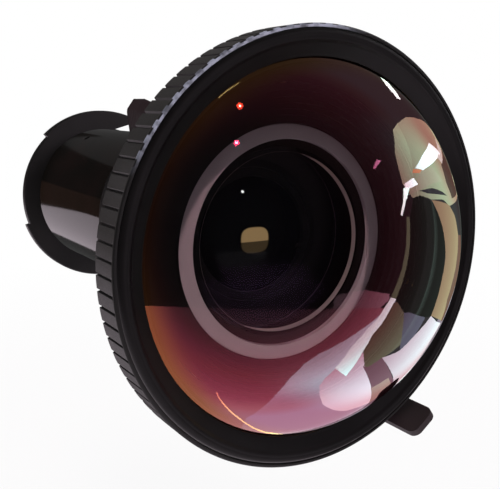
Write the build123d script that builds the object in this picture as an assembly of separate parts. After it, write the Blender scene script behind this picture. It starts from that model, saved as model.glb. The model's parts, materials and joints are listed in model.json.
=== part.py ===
"""Short-throw projector lens with a domed front glass, a ribbed corner-focus ring,
a lever-driven focus ring and a lugged rear flange.

Every piece is first drawn standing on the lens's rear seat: height runs along the
optical axis from the seat to the front, x points right and y points up as the lens
is seen from the front. At the end each piece is laid down, so that the finished
lens looks along -Y with +Z up and the centre of its rear seat is the origin.
Sizes are millimetres and degrees.
"""
from build123d import *

import os
from math import copysign, cos, radians, sin, sqrt, tan

# Overall
front_height = 203.0
axis_up = Rot(90, 0, 0)

# Clearances
running_gap = 0.06
sliding_gap = 0.05
glass_gap = 0.10
slot_gap = 0.10
body_gap = 0.30
screw_gap = 0.05
cut_margin = 1.0

# Front glass
front_glass_radius = 67.2
front_glass_edge = 4.6
front_glass_middle = 4.6
front_glass_rise = 38.64
front_glass_back_land = 8.7
front_seal_width = 1.4
front_seal_thickness = 0.7

# Front bezel
bezel_crest_inset = 1.9
bezel_edge_drop = 1.5
bezel_edge_bow = 0.45
bezel_crown_bow = 0.3
bezel_step_width = 1.9
bezel_step_drop = 1.7
bezel_step_height = 0.5
bezel_lip_overlap = 1.6
bezel_lip_drop = 3.1
bezel_lip_edge = 0.4
bezel_thickness = 2.3
bezel_glass_room = 1.0
bezel_skirt_wall = 0.8
bezel_skirt_length = 4.6

# Corner-focus grip ring
grip_rib_length = 13.3
grip_rib_height = 1.6
grip_front_setback = 0.7
grip_rib_count = 92
grip_groove_width = 0.8
grip_groove_depth = 1.0
grip_rim_width = 0.8
grip_chamfer = 0.5
grip_wall = 3.3
grip_hub_length = 1.4

# Front housing
nose_wall = 1.9
collar_height = 2.1
collar_length = 1.1
seat_width = 7.2
housing_wall = 2.95
thread_step = 0.95
thread_length = 3.5
cone_shoulder = 1.7
cone_length = 55.5
cone_inset = 2.5
cone_wall_drop = 0.5
tail_wall = 3.0
tail_length = 12.0
tube_stop = 0.6
tube_socket_depth = 9.8
bore_run_in = 3.0

# Corner-focus drive
grip_turn = 15.0
grip_lead = 18.0
grip_pin_radius = 1.2
grip_pin_drop = 3.0
grip_slot_depth = 1.94

# Corner-focus cell
corrector_sleeve_wall = 2.75
corrector_sleeve_length = 6.1
corrector_sleeve_gap = 1.3
corrector_web_drop = 3.0
corrector_web_run = 9.7
corrector_web_wall = 3.0
corrector_cell_drop = 5.3
corrector_cell_length = 12.2
corrector_rim_wall = 2.8
corrector_lip_thickness = 1.7
corrector_ring_width = 5.6
corrector_ring_thickness = 2.1
corrector_ring_drop = 1.1
corrector_ring_step = 3.1
corrector_ring_foot = 0.4
corrector_glass_curve = 80.0
corrector_glass_back_land = 7.0
corrector_glass_back_curve = 50.0

# Front baffle
baffle_steps = 5
baffle_tread = 1.0

# Focus ring
focus_ring_length = 18.6
focus_ring_wall = 3.0
focus_ring_chamfer = 0.8
focus_turn = 20.0
focus_lead = 45.0
focus_pin_radius = 1.5
focus_slot_depth = 1.95
retainer_wall = 3.4
retainer_length = 3.2
drive_angles = (100, 220, 340)
slot_end_angle = 3.0

# Focus lever
lever_angle = -54.5
lever_width = 13.0
lever_foot_height = 3.0
lever_foot_sunk = 3.0
lever_arm_thickness = 6.0
lever_reach = 24.0
lever_tongue_thickness = 3.0
lever_tip_setback = 1.0
lever_inner_bend = 3.5
lever_outer_bend = 5.5
lever_corner = 3.5
lever_screw_inset = 3.5

# Finger lug
lug_angle = 138.5
lug_height = 9.0
lug_top_width = 6.3
lug_top_length = 7.7
lug_flank_angle = 37.0
lug_back_inset = 4.4
lug_nose_drop = 3.0
lug_screw_spread = 9.0
lug_screw_length = 5.0

# Focus carriage
drum_wall = 3.4
drum_front_reach = 5.4
drum_back_reach = 7.6
carriage_web_wall = 3.0
carriage_web_drop = 16.0
carriage_web_foot = 3.5
carriage_room = 1.0
carriage_cell_wall = 3.4
carriage_cell_length = 41.0
focus_lip_width = 4.5
focus_lip_thickness = 3.0
focus_retainer_width = 3.9
focus_retainer_thickness = 2.4
focus_retainer_drop = 1.0
focus_front_glass_edge = 8.6
focus_front_curve = 60.0
focus_front_back_curve = -80.0
focus_spacer_length = 10.0
focus_spacer_wall = 3.2
focus_rear_glass_edge = 8.0
focus_rear_curve = -70.0
focus_rear_back_curve = -90.0
stop_hole_radius = 13.0
stop_thickness = 1.2
stop_inset = 2.0

# Barrel tube
tube_radius = 35.6
tube_wall = 3.0
key_screw_height = 23.5
key_screw_angle = 116.0
key_screw_radius = 1.6
key_screw_bite = 1.0
key_screw_sunk = 0.4

# Rear flange
flange_thickness = 4.0
flange_width = 8.2
flange_lug_height = 1.8
flange_hub_width = 0.8
flange_socket_depth = 2.5
flange_edge = 0.5
flange_screw_count = 6
flange_screw_radius = 1.0
flange_screw_head = 1.9
flange_screw_length = 9.0
upper_lug = (60.0, 133.0)
upper_lug_slant = 17.0
lower_lug = (-162.0, -78.0)
side_lug = (-42.0, 20.0)

# Rear cell
spigot_length = 12.0
spigot_step = 1.0
spigot_wall = 4.9
spigot_relief = 0.6
spigot_lead_in = 0.5
rear_cell_setback = 5.8
relay_wall = 3.9
relay_depth = 40.0
throat_wall = 7.5
rear_glass_front_height = 2.0
rear_lip_width = 3.5
rear_lip_thickness = 4.0
rear_glass_edge = 8.0
rear_front_curve = 60.0
rear_back_curve = -150.0
rear_retainer_thickness = 2.6
rear_retainer_width = 3.1
relay_back_edge = 9.0
relay_back_curve = 50.0
relay_back_rear_curve = -70.0
relay_spacer_length = 15.0
relay_spacer_wall = 3.0
relay_front_edge = 9.0
relay_front_curve = 90.0
relay_front_rear_curve = -55.0
relay_retainer_thickness = 2.6
field_stop_thickness = 1.6
field_stop_setback = 1.0
window_width = 30.0
window_height = 18.0
window_corner = 3.0

# Screws and spanner slots
small_screw_radius = 1.1
small_screw_head = 1.9
small_screw_head_height = 1.3
drive_depth = 0.7
drive_radius = 0.6
drive_sides = 6
spanner_slot_width = 2.4
spanner_slot_depth = 1.2

# Radii that several pieces share, from the front glass outwards
glass_bore_radius = front_glass_radius + glass_gap
bezel_lip_radius = front_glass_radius - bezel_lip_overlap
skirt_inner_radius = front_glass_radius + bezel_glass_room
skirt_radius = skirt_inner_radius + bezel_skirt_wall
nose_radius = skirt_radius + nose_wall
collar_radius = nose_radius + collar_height
grip_bore_radius = nose_radius + running_gap
grip_hub_radius = nose_radius + grip_wall
grip_radius = grip_hub_radius + grip_rib_height
bezel_radius = grip_hub_radius

# From the front glass inwards
seat_bore_radius = front_glass_radius - seat_width
sleeve_radius = seat_bore_radius - sliding_gap
sleeve_inner_radius = sleeve_radius - corrector_sleeve_wall
corrector_cell_radius = sleeve_inner_radius - corrector_web_run
corrector_room_radius = corrector_cell_radius - corrector_rim_wall
corrector_ring_radius = corrector_room_radius - glass_gap
corrector_ring_bore = corrector_ring_radius - corrector_ring_width
corrector_glass_radius = corrector_ring_radius - corrector_ring_step
corrector_lip_radius = corrector_glass_radius - corrector_glass_back_land
drum_inner_radius = sleeve_radius - drum_wall
track_radius = seat_bore_radius + housing_wall
ring_bore_radius = track_radius + running_gap
focus_ring_radius = ring_bore_radius + focus_ring_wall
thread_radius = track_radius - thread_step
lever_inner_radius = focus_ring_radius + lever_reach
lug_radius = focus_ring_radius + lug_height

# From the barrel tube
tube_bore_radius = tube_radius - tube_wall
tube_hole_radius = tube_radius + sliding_gap
tail_radius = tube_radius + tail_wall
tail_bore_radius = tube_radius - tube_stop
cell_radius = tail_bore_radius - carriage_room
focus_bore_radius = cell_radius - carriage_cell_wall
focus_glass_radius = focus_bore_radius - glass_gap
focus_ring_bore = focus_glass_radius - focus_retainer_width
focus_spacer_bore = focus_glass_radius - focus_spacer_wall
focus_lip_radius = focus_glass_radius - focus_lip_width
rear_cell_radius = tube_bore_radius - glass_gap
relay_bore_radius = rear_cell_radius - relay_wall
relay_glass_radius = relay_bore_radius - glass_gap
relay_spacer_bore = relay_glass_radius - relay_spacer_wall
throat_radius = rear_cell_radius - throat_wall
spigot_radius = rear_cell_radius - spigot_step
rear_bore_radius = spigot_radius - spigot_wall
rear_glass_radius = rear_bore_radius - glass_gap
rear_lip_radius = rear_glass_radius - rear_lip_width
rear_retainer_bore = rear_glass_radius - rear_retainer_width
flange_radius = tube_radius + flange_width
flange_lug_radius = flange_radius + flange_lug_height
flange_hub_radius = tube_radius + flange_hub_width
flange_screw_circle = (tube_radius + tube_bore_radius) / 2

# Heights that several pieces share, from the front backwards
bezel_back = front_height - bezel_thickness
bezel_underside = front_height - bezel_lip_drop - bezel_lip_edge
skirt_back = bezel_back - bezel_skirt_length
glass_front = bezel_underside - front_seal_thickness
glass_back = glass_front - front_glass_edge
grip_front = front_height - grip_front_setback
grip_rib_back = grip_front - grip_rib_length
grip_back = grip_rib_back - grip_hub_length
grip_pin_height = glass_back - grip_pin_drop
grip_travel = grip_lead * grip_turn / 360
collar_front = grip_back - body_gap
collar_back = collar_front - collar_length
sleeve_front = glass_back - corrector_sleeve_gap
sleeve_back = sleeve_front - corrector_sleeve_length
web_front = sleeve_front - corrector_web_drop
cell_rim = sleeve_back - corrector_cell_drop
cell_end = cell_rim - corrector_cell_length
corrector_ring_front = cell_rim - corrector_ring_drop
corrector_ring_back = corrector_ring_front - corrector_ring_thickness
corrector_glass_front = corrector_ring_back - corrector_ring_foot
corrector_glass_back = cell_end + corrector_lip_thickness
focus_ring_front = collar_back - body_gap
focus_ring_back = focus_ring_front - focus_ring_length
focus_pin_height = (focus_ring_front + focus_ring_back) / 2
focus_travel = focus_lead * focus_turn / 360
track_end = focus_ring_back - body_gap
cone_front = track_end - thread_length
cone_back = cone_front - cone_length
tail_end = cone_back - tail_length
tube_end = tail_end + tube_socket_depth
drum_front = focus_pin_height + drum_front_reach
drum_back = focus_pin_height - drum_back_reach
carriage_front = drum_back - carriage_web_drop
carriage_back = carriage_front - carriage_cell_length
focus_glass_front = carriage_front - focus_retainer_drop - focus_retainer_thickness
focus_spacer_front = focus_glass_front - focus_front_glass_edge
focus_spacer_back = focus_spacer_front - focus_spacer_length
focus_glass_back = focus_spacer_back - focus_rear_glass_edge
rear_cell_front = tube_end - rear_cell_setback
relay_shoulder = rear_cell_front - relay_depth
relay_spacer_back = relay_shoulder + relay_back_edge
relay_spacer_front = relay_spacer_back + relay_spacer_length
relay_glass_front = relay_spacer_front + relay_front_edge
tube_back = flange_thickness - flange_socket_depth
rear_glass_back = rear_glass_front_height - rear_glass_edge


def turned(*corners):
    """Turns a closed outline of (radius, height) corners once round the axis."""
    return revolve(make_face(Plane.XZ * Polyline(*corners, close=True)), Axis.Z)


def turned_edges(edges):
    """Turns a closed outline of lines and arcs once round the axis."""
    return revolve(make_face(Plane.XZ * Curve(edges)), Axis.Z)


def tube(outer, inner, low, high):
    """A plain tube between two heights."""
    return turned((inner, low), (outer, low), (outer, high), (inner, high))


def sag(curve, reach):
    """How far a ball face stands above its rim; a face that dips has a negative curve."""
    return copysign(abs(curve) - sqrt(curve**2 - reach**2), curve)


def ball_radius(reach, rise):
    """The radius of the ball whose face rises by this much over this reach."""
    return (reach**2 + rise**2) / (2 * rise)


def ball_arc(curve, reach, height):
    """The outline of a ball face, from its middle on the axis to its rim."""
    top = height + sag(curve, reach)
    halfway = (reach / 2, top - sag(curve, reach / 2))
    return ThreePointArc((0, top), halfway, (reach, height))


def glass(radius, front, front_reach, front_curve, back, back_reach, back_curve):
    """One glass element: two ball faces, their flat lands and a ground edge.

    A positive curve swells towards the front on either face.
    """
    front_arc = ball_arc(front_curve, front_reach, front)
    back_arc = ball_arc(back_curve, back_reach, back)
    edge = Polyline((front_reach, front), (radius, front), (radius, back), (back_reach, back))
    middle = Line(back_arc @ 0, front_arc @ 0)
    return turned_edges([front_arc, edge, back_arc, middle])


def around(angle, shape):
    """Turns a shape about the axis to its angle, seen from the front."""
    return Rot(0, 0, angle) * shape


def thirds(start):
    """Three angles that share a turn equally."""
    return [start + 120 * place for place in range(3)]


def radial_rod(radius, inner, outer, height, angle):
    """A round rod that points straight out from the axis."""
    rod = Cylinder(radius, outer - inner, align=(Align.CENTER, Align.CENTER, Align.MIN))
    return around(angle, Pos(inner, 0, height) * Rot(0, 90, 0) * rod)


def straight_slot(pin_radius, travel, inner, outer, height, angle):
    """A cutter for a slot along the axis, in which a pin slides both ways."""
    width = 2 * (pin_radius + slot_gap)
    length = width + 2 * (travel + body_gap)
    plane = Plane((inner, 0, height), x_dir=(0, 0, 1), z_dir=(1, 0, 0))
    return around(angle, extrude(plane * SlotOverall(length, width), outer - inner))


def spiral_slot(pin_radius, lead, turn, inner, outer, height, angle):
    """A cutter for a slot that climbs by its lead in a full turn, centred on a pin."""
    span = 2 * (turn + slot_end_angle)
    climb = lead * span / 360
    path = Helix(lead, climb, (inner + outer) / 2, center=(0, 0, height - climb / 2))
    start = Plane(path @ 0, x_dir=(1, 0, 0), z_dir=path % 0)
    section = start * Rectangle(outer - inner, 2 * (pin_radius + slot_gap))
    return around(angle - span / 2, sweep(section, path=path, is_frenet=True))


def cap_screw(length):
    """A round-headed screw whose head sits at the origin, with a cross drive."""
    body = Cylinder(small_screw_radius, length, align=(Align.CENTER, Align.CENTER, Align.MAX))
    body += Cylinder(
        small_screw_head,
        small_screw_head_height,
        align=(Align.CENTER, Align.CENTER, Align.MIN),
    )
    bar = Box(3 * drive_radius, drive_radius / 2, 2 * drive_depth)
    top = Pos(0, 0, small_screw_head_height)
    return body - top * bar - top * Rot(0, 0, 90) * bar


def flush_screw(shank, head, length):
    """A countersunk screw whose top is at the origin, with a hexagon drive."""
    cone = turned((0, 0), (head, 0), (shank, shank - head), (shank, -length), (0, -length))
    socket = extrude(RegularPolygon(drive_radius, drive_sides), drive_depth)
    return cone - Pos(0, 0, -drive_depth) * socket


def flush_hole(shank, head, length):
    """The cutter in which a countersunk screw fits, open above the screw's top."""
    wide = head + screw_gap
    narrow = shank + screw_gap
    end = -length - screw_gap
    return turned(
        (0, cut_margin),
        (wide, cut_margin),
        (wide, 0),
        (narrow, narrow - wide),
        (narrow, end),
        (0, end),
    )


def facing_out(radius, height, angle, shape):
    """Stands a shape's own +Z along the outward radius at a place round the axis."""
    return around(angle, Pos(radius, 0, height) * Rot(0, 90, 0) * shape)


def grip_ring():
    """The ribbed ring round the front; its bore's slots drive the corner-focus cell."""
    rim = bezel_radius + body_gap
    floor = bezel_back - body_gap
    body = turned(
        (grip_bore_radius, grip_back),
        (grip_hub_radius, grip_back),
        (grip_hub_radius, grip_rib_back),
        (grip_radius, grip_rib_back),
        (grip_radius, grip_front - grip_chamfer),
        (grip_radius - grip_chamfer, grip_front),
        (rim, grip_front),
        (rim, floor),
        (grip_bore_radius, floor),
    )
    length = grip_rib_length - grip_rim_width
    groove = Pos(0, 0, grip_rib_back + length / 2) * Box(2 * grip_groove_depth, grip_groove_width, length)
    body -= [place * groove for place in PolarLocations(grip_radius, grip_rib_count)]
    inner = grip_bore_radius - slot_gap
    outer = grip_bore_radius + grip_slot_depth
    for angle in drive_angles:
        body -= spiral_slot(grip_pin_radius, grip_lead, grip_turn, inner, outer, grip_pin_height, angle)
    return body


def front_bezel():
    """The smooth ring that closes the front: a crowned face, a step, a lip and a skirt."""
    crest = bezel_radius - bezel_crest_inset
    step = bezel_lip_radius + bezel_step_width
    edge_height = front_height - bezel_edge_drop
    step_height = front_height - bezel_step_drop
    lip_height = front_height - bezel_lip_drop
    shoulder = ThreePointArc(
        (bezel_radius, edge_height),
        (bezel_radius - bezel_edge_bow, front_height - bezel_edge_bow),
        (crest, front_height),
    )
    crown = ThreePointArc(
        (crest, front_height),
        ((crest + step) / 2, (front_height + step_height) / 2 + bezel_crown_bow),
        (step, step_height),
    )
    inside = Polyline(
        (step, step_height),
        (step, step_height - bezel_step_height),
        (bezel_lip_radius, lip_height),
        (bezel_lip_radius, bezel_underside),
        (skirt_inner_radius, bezel_underside),
        (skirt_inner_radius, skirt_back),
        (skirt_radius, skirt_back),
        (skirt_radius, bezel_back),
        (bezel_radius, bezel_back),
        (bezel_radius, edge_height),
    )
    return turned_edges([shoulder, crown, inside])


def front_glass():
    """The domed front glass, a deep meniscus whose two faces keep their rise over any rim."""
    back_reach = front_glass_radius - front_glass_back_land
    back_rise = front_glass_rise + front_glass_edge - front_glass_middle
    return glass(
        front_glass_radius,
        glass_front,
        bezel_lip_radius,
        ball_radius(bezel_lip_radius, front_glass_rise),
        glass_back,
        back_reach,
        ball_radius(back_reach, back_rise),
    )


def front_seal():
    """The flat seal between the bezel's lip and the glass's front land."""
    return tube(front_glass_radius, front_glass_radius - front_seal_width, glass_front, bezel_underside)


def front_housing():
    """The cast housing: nose, collar, ring track, cone and tail, with the pins' slots."""
    skirt_room = skirt_back - body_gap
    thread_bore = skirt_radius + sliding_gap
    cone_top = cone_front - cone_wall_drop
    body = turned(
        (thread_bore, bezel_back),
        (nose_radius, bezel_back),
        (nose_radius, collar_front),
        (collar_radius, collar_front),
        (collar_radius, collar_back),
        (track_radius, collar_back),
        (track_radius, track_end),
        (thread_radius, track_end),
        (thread_radius, cone_front),
        (thread_radius - cone_shoulder, cone_front),
        (tail_radius, cone_back),
        (tail_radius, tail_end),
        (tube_hole_radius, tail_end),
        (tube_hole_radius, tube_end),
        (tail_bore_radius, tube_end),
        (seat_bore_radius - cone_inset, cone_top),
        (seat_bore_radius, cone_top + bore_run_in),
        (seat_bore_radius, glass_back),
        (glass_bore_radius, glass_back),
        (glass_bore_radius, skirt_room),
        (thread_bore, skirt_room),
    )
    inner = seat_bore_radius - cut_margin
    for angle in drive_angles:
        outer = nose_radius + cut_margin
        body -= straight_slot(grip_pin_radius, grip_travel, inner, outer, grip_pin_height, angle)
        outer = track_radius + cut_margin
        body -= straight_slot(focus_pin_radius, focus_travel, inner, outer, focus_pin_height, angle)
    return body


def corrector_cell():
    """The cell that the ribbed ring moves: a sleeve, a coned web and the glass's holder."""
    bore = corrector_glass_radius + glass_gap
    body = turned(
        (sleeve_inner_radius, sleeve_front),
        (sleeve_radius, sleeve_front),
        (sleeve_radius, sleeve_back),
        (sleeve_inner_radius, sleeve_back),
        (corrector_cell_radius, cell_rim - corrector_web_wall),
        (corrector_cell_radius, cell_end),
        (corrector_lip_radius, cell_end),
        (corrector_lip_radius, corrector_glass_back),
        (bore, corrector_glass_back),
        (bore, corrector_ring_back),
        (corrector_room_radius, corrector_ring_back),
        (corrector_room_radius, cell_rim),
        (corrector_cell_radius, cell_rim),
        (sleeve_inner_radius, web_front),
    )
    inner = sleeve_inner_radius - cut_margin
    outer = sleeve_radius + cut_margin
    for angle in drive_angles:
        body -= radial_rod(grip_pin_radius, inner, outer, grip_pin_height, angle)
    return body


def corrector_pins():
    """Three pins from the cell's sleeve through the housing into the ribbed ring."""
    outer = grip_bore_radius + grip_slot_depth - body_gap
    return [
        radial_rod(grip_pin_radius, sleeve_inner_radius, outer, grip_pin_height, angle)
        for angle in drive_angles
    ]


def corrector_glass():
    """The second glass, a meniscus behind the front one."""
    return glass(
        corrector_glass_radius,
        corrector_glass_front,
        corrector_ring_bore,
        corrector_glass_curve,
        corrector_glass_back,
        corrector_lip_radius,
        corrector_glass_back_curve,
    )


def corrector_ring():
    """The satin ring that shows through the front glass and holds the second glass."""
    bevel = corrector_ring_foot
    return turned(
        (corrector_ring_bore, corrector_glass_front),
        (corrector_glass_radius, corrector_glass_front),
        (corrector_glass_radius, corrector_ring_back),
        (corrector_ring_radius, corrector_ring_back),
        (corrector_ring_radius, corrector_ring_front - bevel),
        (corrector_ring_radius - bevel, corrector_ring_front),
        (corrector_ring_bore + bevel, corrector_ring_front),
        (corrector_ring_bore, corrector_ring_front - bevel),
    )


def front_baffle():
    """The stepped black cone that lines the cell's web behind the front glass."""
    run = (sleeve_inner_radius - corrector_cell_radius) / baffle_steps
    rise = (web_front - cell_rim) / baffle_steps
    corners = [(corrector_cell_radius, cell_rim), (sleeve_inner_radius, web_front)]
    for step in range(baffle_steps, 0, -1):
        radius = corrector_cell_radius + run * step
        height = cell_rim + rise * step + baffle_tread
        corners.append((radius, height))
        corners.append((radius - run, height))
    return turned(*corners)


def focus_ring():
    """The lower ring; its bore's spiral slots move the focus carriage."""
    bevel = focus_ring_chamfer
    body = turned(
        (ring_bore_radius, focus_ring_back),
        (focus_ring_radius - bevel, focus_ring_back),
        (focus_ring_radius, focus_ring_back + bevel),
        (focus_ring_radius, focus_ring_front - bevel),
        (focus_ring_radius - bevel, focus_ring_front),
        (ring_bore_radius, focus_ring_front),
    )
    inner = ring_bore_radius - slot_gap
    outer = ring_bore_radius + focus_slot_depth
    for angle in drive_angles:
        body -= spiral_slot(focus_pin_radius, focus_lead, focus_turn, inner, outer, focus_pin_height, angle)
    for hole in lever_screw_holes() + lug_screw_holes():
        body -= hole
    return body


def at_lever_screws(shape):
    """Places a shape at the two screws of the lever's foot."""
    seat = focus_ring_radius + lever_foot_height
    heights = (focus_ring_back + lever_screw_inset, focus_ring_front - lever_screw_inset)
    return [facing_out(seat, height, lever_angle, shape) for height in heights]


def lever_screws():
    """The lever's two round-headed screws."""
    return at_lever_screws(cap_screw(lever_foot_height + focus_ring_wall - body_gap))


def lever_screw_holes():
    """The lever screws' holes, right through the foot and the ring."""
    depth = lever_foot_height + focus_ring_wall + cut_margin
    hole = Cylinder(small_screw_radius + screw_gap, depth, align=(Align.CENTER, Align.CENTER, Align.MAX))
    return at_lever_screws(hole)


def focus_lever():
    """The long lever: a foot on the ring, an arm outwards and a tongue towards the front."""
    sunk = focus_ring_radius - lever_foot_sunk
    foot = focus_ring_radius + lever_foot_height
    outer = lever_inner_radius + lever_tongue_thickness
    arm_back = focus_pin_height - lever_arm_thickness / 2
    arm_front = focus_pin_height + lever_arm_thickness / 2
    foot_back = focus_ring_back + focus_ring_chamfer
    foot_front = focus_ring_front - focus_ring_chamfer
    tip = front_height - lever_tip_setback
    profile = Polyline(
        (sunk, foot_back),
        (foot, foot_back),
        (foot, arm_back),
        (outer, arm_back),
        (outer, tip),
        (lever_inner_radius, tip),
        (lever_inner_radius, arm_front),
        (foot, arm_front),
        (foot, foot_front),
        (sunk, foot_front),
        close=True,
    )
    body = extrude(make_face(Plane.XZ * profile), lever_width / 2, both=True)
    outer_bend = body.edges().filter_by(Axis.Y).sort_by_distance((outer, 0, arm_back))[0]
    body = fillet(outer_bend, lever_outer_bend)
    inner_bend = body.edges().filter_by(Axis.Y).sort_by_distance((lever_inner_radius, 0, arm_front))[0]
    body = fillet(inner_bend, lever_inner_bend)
    body = fillet(body.edges().filter_by(Axis.X).group_by(Axis.Z)[-1], lever_corner)
    body = around(lever_angle, body)
    body -= Pos(0, 0, front_height / 2) * Cylinder(focus_ring_radius, front_height)
    for hole in lever_screw_holes():
        body -= hole
    return body


def at_lug_screws(shape, head):
    """Places a shape at the lug's two screws, its top just below the ring's bore."""
    offset = lug_screw_spread / 2
    height = focus_ring_back + lug_back_inset + lug_top_length / 2
    seat = sqrt(ring_bore_radius**2 - (offset - head) ** 2) + screw_gap
    tilt = Rot(0, -90, 0)
    return [around(lug_angle, Pos(seat, side, height) * tilt * shape) for side in (-offset, offset)]


def lug_screws():
    """The lug's two countersunk screws, put in from the ring's bore."""
    screw = flush_screw(small_screw_radius, small_screw_head, lug_screw_length)
    return at_lug_screws(screw, small_screw_head)


def lug_screw_holes():
    """The lug screws' holes through the ring and into the lug."""
    hole = flush_hole(small_screw_radius, small_screw_head, lug_screw_length)
    return at_lug_screws(hole, small_screw_head)


def finger_lug():
    """The short lug on the ring's other side: a low tooth with sloping flanks."""
    back = focus_ring_back + lug_back_inset
    front = focus_ring_front - focus_ring_chamfer
    sunk = focus_ring_radius - lever_foot_sunk
    half_top = lug_top_width / 2
    half_foot = half_top + (lug_radius - sunk) / tan(radians(lug_flank_angle))
    outline = Polyline(
        (sunk, -half_foot),
        (lug_radius, -half_top),
        (lug_radius, half_top),
        (sunk, half_foot),
        close=True,
    )
    body = Pos(0, 0, back) * extrude(make_face(outline), front - back)
    ramp = Polyline(
        (lug_radius, back + lug_top_length),
        (lug_radius - lug_nose_drop, front),
        (lug_radius, front),
        close=True,
    )
    body -= extrude(make_face(Plane.XZ * ramp), half_foot, both=True)
    body = around(lug_angle, body)
    body -= Pos(0, 0, front_height / 2) * Cylinder(focus_ring_radius, front_height)
    for hole in lug_screw_holes():
        body -= hole
    return body


def focus_retainer():
    """The threaded ring behind the focus ring, with two spanner slots."""
    bore = thread_radius + sliding_gap
    outer = bore + retainer_wall
    low = track_end - retainer_length
    slot = Box(2 * (outer + cut_margin), spanner_slot_width, 2 * spanner_slot_depth)
    return tube(outer, bore, low, track_end) - Pos(0, 0, low) * slot


def focus_carriage():
    """The sliding carriage: a drum that carries the pins, a coned web and the lens cell."""
    lip_back = focus_glass_back - focus_lip_thickness
    web_foot = carriage_front - carriage_web_foot
    body = turned(
        (drum_inner_radius, drum_front),
        (sleeve_radius, drum_front),
        (sleeve_radius, drum_back),
        (drum_inner_radius, drum_back),
        (cell_radius, web_foot - carriage_web_wall),
        (cell_radius, carriage_back),
        (focus_bore_radius, carriage_back),
        (focus_bore_radius, lip_back),
        (focus_lip_radius, lip_back),
        (focus_lip_radius, focus_glass_back),
        (focus_bore_radius, focus_glass_back),
        (focus_bore_radius, carriage_front),
        (cell_radius, carriage_front),
        (drum_inner_radius, drum_back + carriage_web_wall),
    )
    inner = drum_inner_radius - cut_margin
    outer = sleeve_radius + cut_margin
    for angle in drive_angles:
        body -= radial_rod(focus_pin_radius, inner, outer, focus_pin_height, angle)
    return body


def focus_pins():
    """Three pins from the carriage's drum through the housing into the focus ring."""
    outer = ring_bore_radius + focus_slot_depth - body_gap
    return [
        radial_rod(focus_pin_radius, drum_inner_radius, outer, focus_pin_height, angle)
        for angle in drive_angles
    ]


def focus_retaining_ring():
    """The satin ring in front of the focus group."""
    front = focus_glass_front + focus_retainer_thickness
    return tube(focus_glass_radius, focus_ring_bore, focus_glass_front, front)


def focus_front_glass():
    """The focus group's first glass, swollen on both faces."""
    return glass(
        focus_glass_radius,
        focus_glass_front,
        focus_ring_bore,
        focus_front_curve,
        focus_spacer_front,
        focus_spacer_bore,
        focus_front_back_curve,
    )


def focus_spacer():
    """The spacer between the focus group's two glasses."""
    return tube(focus_glass_radius, focus_spacer_bore, focus_spacer_back, focus_spacer_front)


def focus_rear_glass():
    """The focus group's second glass, hollow in front and swollen behind."""
    return glass(
        focus_glass_radius,
        focus_spacer_back,
        focus_spacer_bore,
        focus_rear_curve,
        focus_glass_back,
        focus_lip_radius,
        focus_rear_back_curve,
    )


def aperture_stop():
    """The thin plate with the round stop, at the back of the carriage."""
    low = carriage_back + stop_inset
    return tube(focus_glass_radius, stop_hole_radius, low, low + stop_thickness)


def barrel_tube():
    """The long rear tube, from the flange's socket into the housing's tail."""
    body = tube(tube_radius, tube_bore_radius, tube_back, tube_end)
    inner = tube_bore_radius - cut_margin
    outer = tube_radius + cut_margin
    for angle in thirds(key_screw_angle):
        body -= radial_rod(key_screw_radius + screw_gap, inner, outer, key_screw_height, angle)
    for hole in flange_screw_holes():
        body -= hole
    return body


def barrel_key_screws():
    """Three headless screws that lock the rear cell in the tube, just below flush."""
    inner = rear_cell_radius - key_screw_bite
    outer = tube_radius - key_screw_sunk
    socket = extrude(RegularPolygon(drive_radius, drive_sides), drive_depth)
    return [
        radial_rod(key_screw_radius, inner, outer, key_screw_height, angle)
        - facing_out(outer - drive_depth, key_screw_height, angle, socket)
        for angle in thirds(key_screw_angle)
    ]


def wedge(start, end, reach):
    """A flat wedge from the axis between two angles, with its outer corners at a reach."""
    turns = [radians(angle) for angle in (start, (start + end) / 2, end)]
    corners = [(reach * cos(turn), reach * sin(turn)) for turn in turns]
    return make_face(Polyline((0, 0), *corners, close=True))


def flange_outline():
    """The flange seen from the front: a low disc, three lugs and two open notches."""
    reach = 2 * flange_lug_radius
    outline = Circle(flange_radius)
    for start, end in (upper_lug, lower_lug, side_lug):
        outline += Circle(flange_lug_radius) & wedge(start, end, reach)
    tip = radians(upper_lug[0])
    root = radians(upper_lug[0] + upper_lug_slant)
    slant = Polyline(
        (flange_lug_radius * cos(tip), flange_lug_radius * sin(tip)),
        (flange_hub_radius * cos(root), flange_hub_radius * sin(root)),
        (reach * cos(root), reach * sin(root)),
        (reach * cos(tip), reach * sin(tip)),
        close=True,
    )
    outline -= wedge(lower_lug[1], side_lug[0], reach)
    outline -= wedge(side_lug[1], upper_lug[0] + upper_lug_slant, reach) - make_face(slant)
    return outline + Circle(flange_hub_radius) - Circle(spigot_radius + sliding_gap)


def at_flange_screws(shape):
    """Places a shape at the flange's screws, its top on the flange's rear face."""
    return [
        place * Rot(180, 0, 0) * shape for place in PolarLocations(flange_screw_circle, flange_screw_count)
    ]


def flange_screws():
    """The countersunk screws that hold the flange to the tube, put in from the rear."""
    return at_flange_screws(flush_screw(flange_screw_radius, flange_screw_head, flange_screw_length))


def flange_screw_holes():
    """The flange screws' holes through the flange and into the tube's wall."""
    return at_flange_screws(flush_hole(flange_screw_radius, flange_screw_head, flange_screw_length))


def rear_flange():
    """The lugged flange that seats in the projector, with a socket for the tube."""
    body = extrude(flange_outline(), flange_thickness)
    rim = [edge for edge in body.edges().group_by(Axis.Z)[-1] if edge.geom_type == GeomType.CIRCLE]
    body = chamfer([edge for edge in rim if edge.radius > flange_hub_radius], flange_edge)
    body -= tube(tube_hole_radius, spigot_radius, tube_back, flange_thickness + cut_margin)
    for hole in flange_screw_holes():
        body -= hole
    return body


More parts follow.
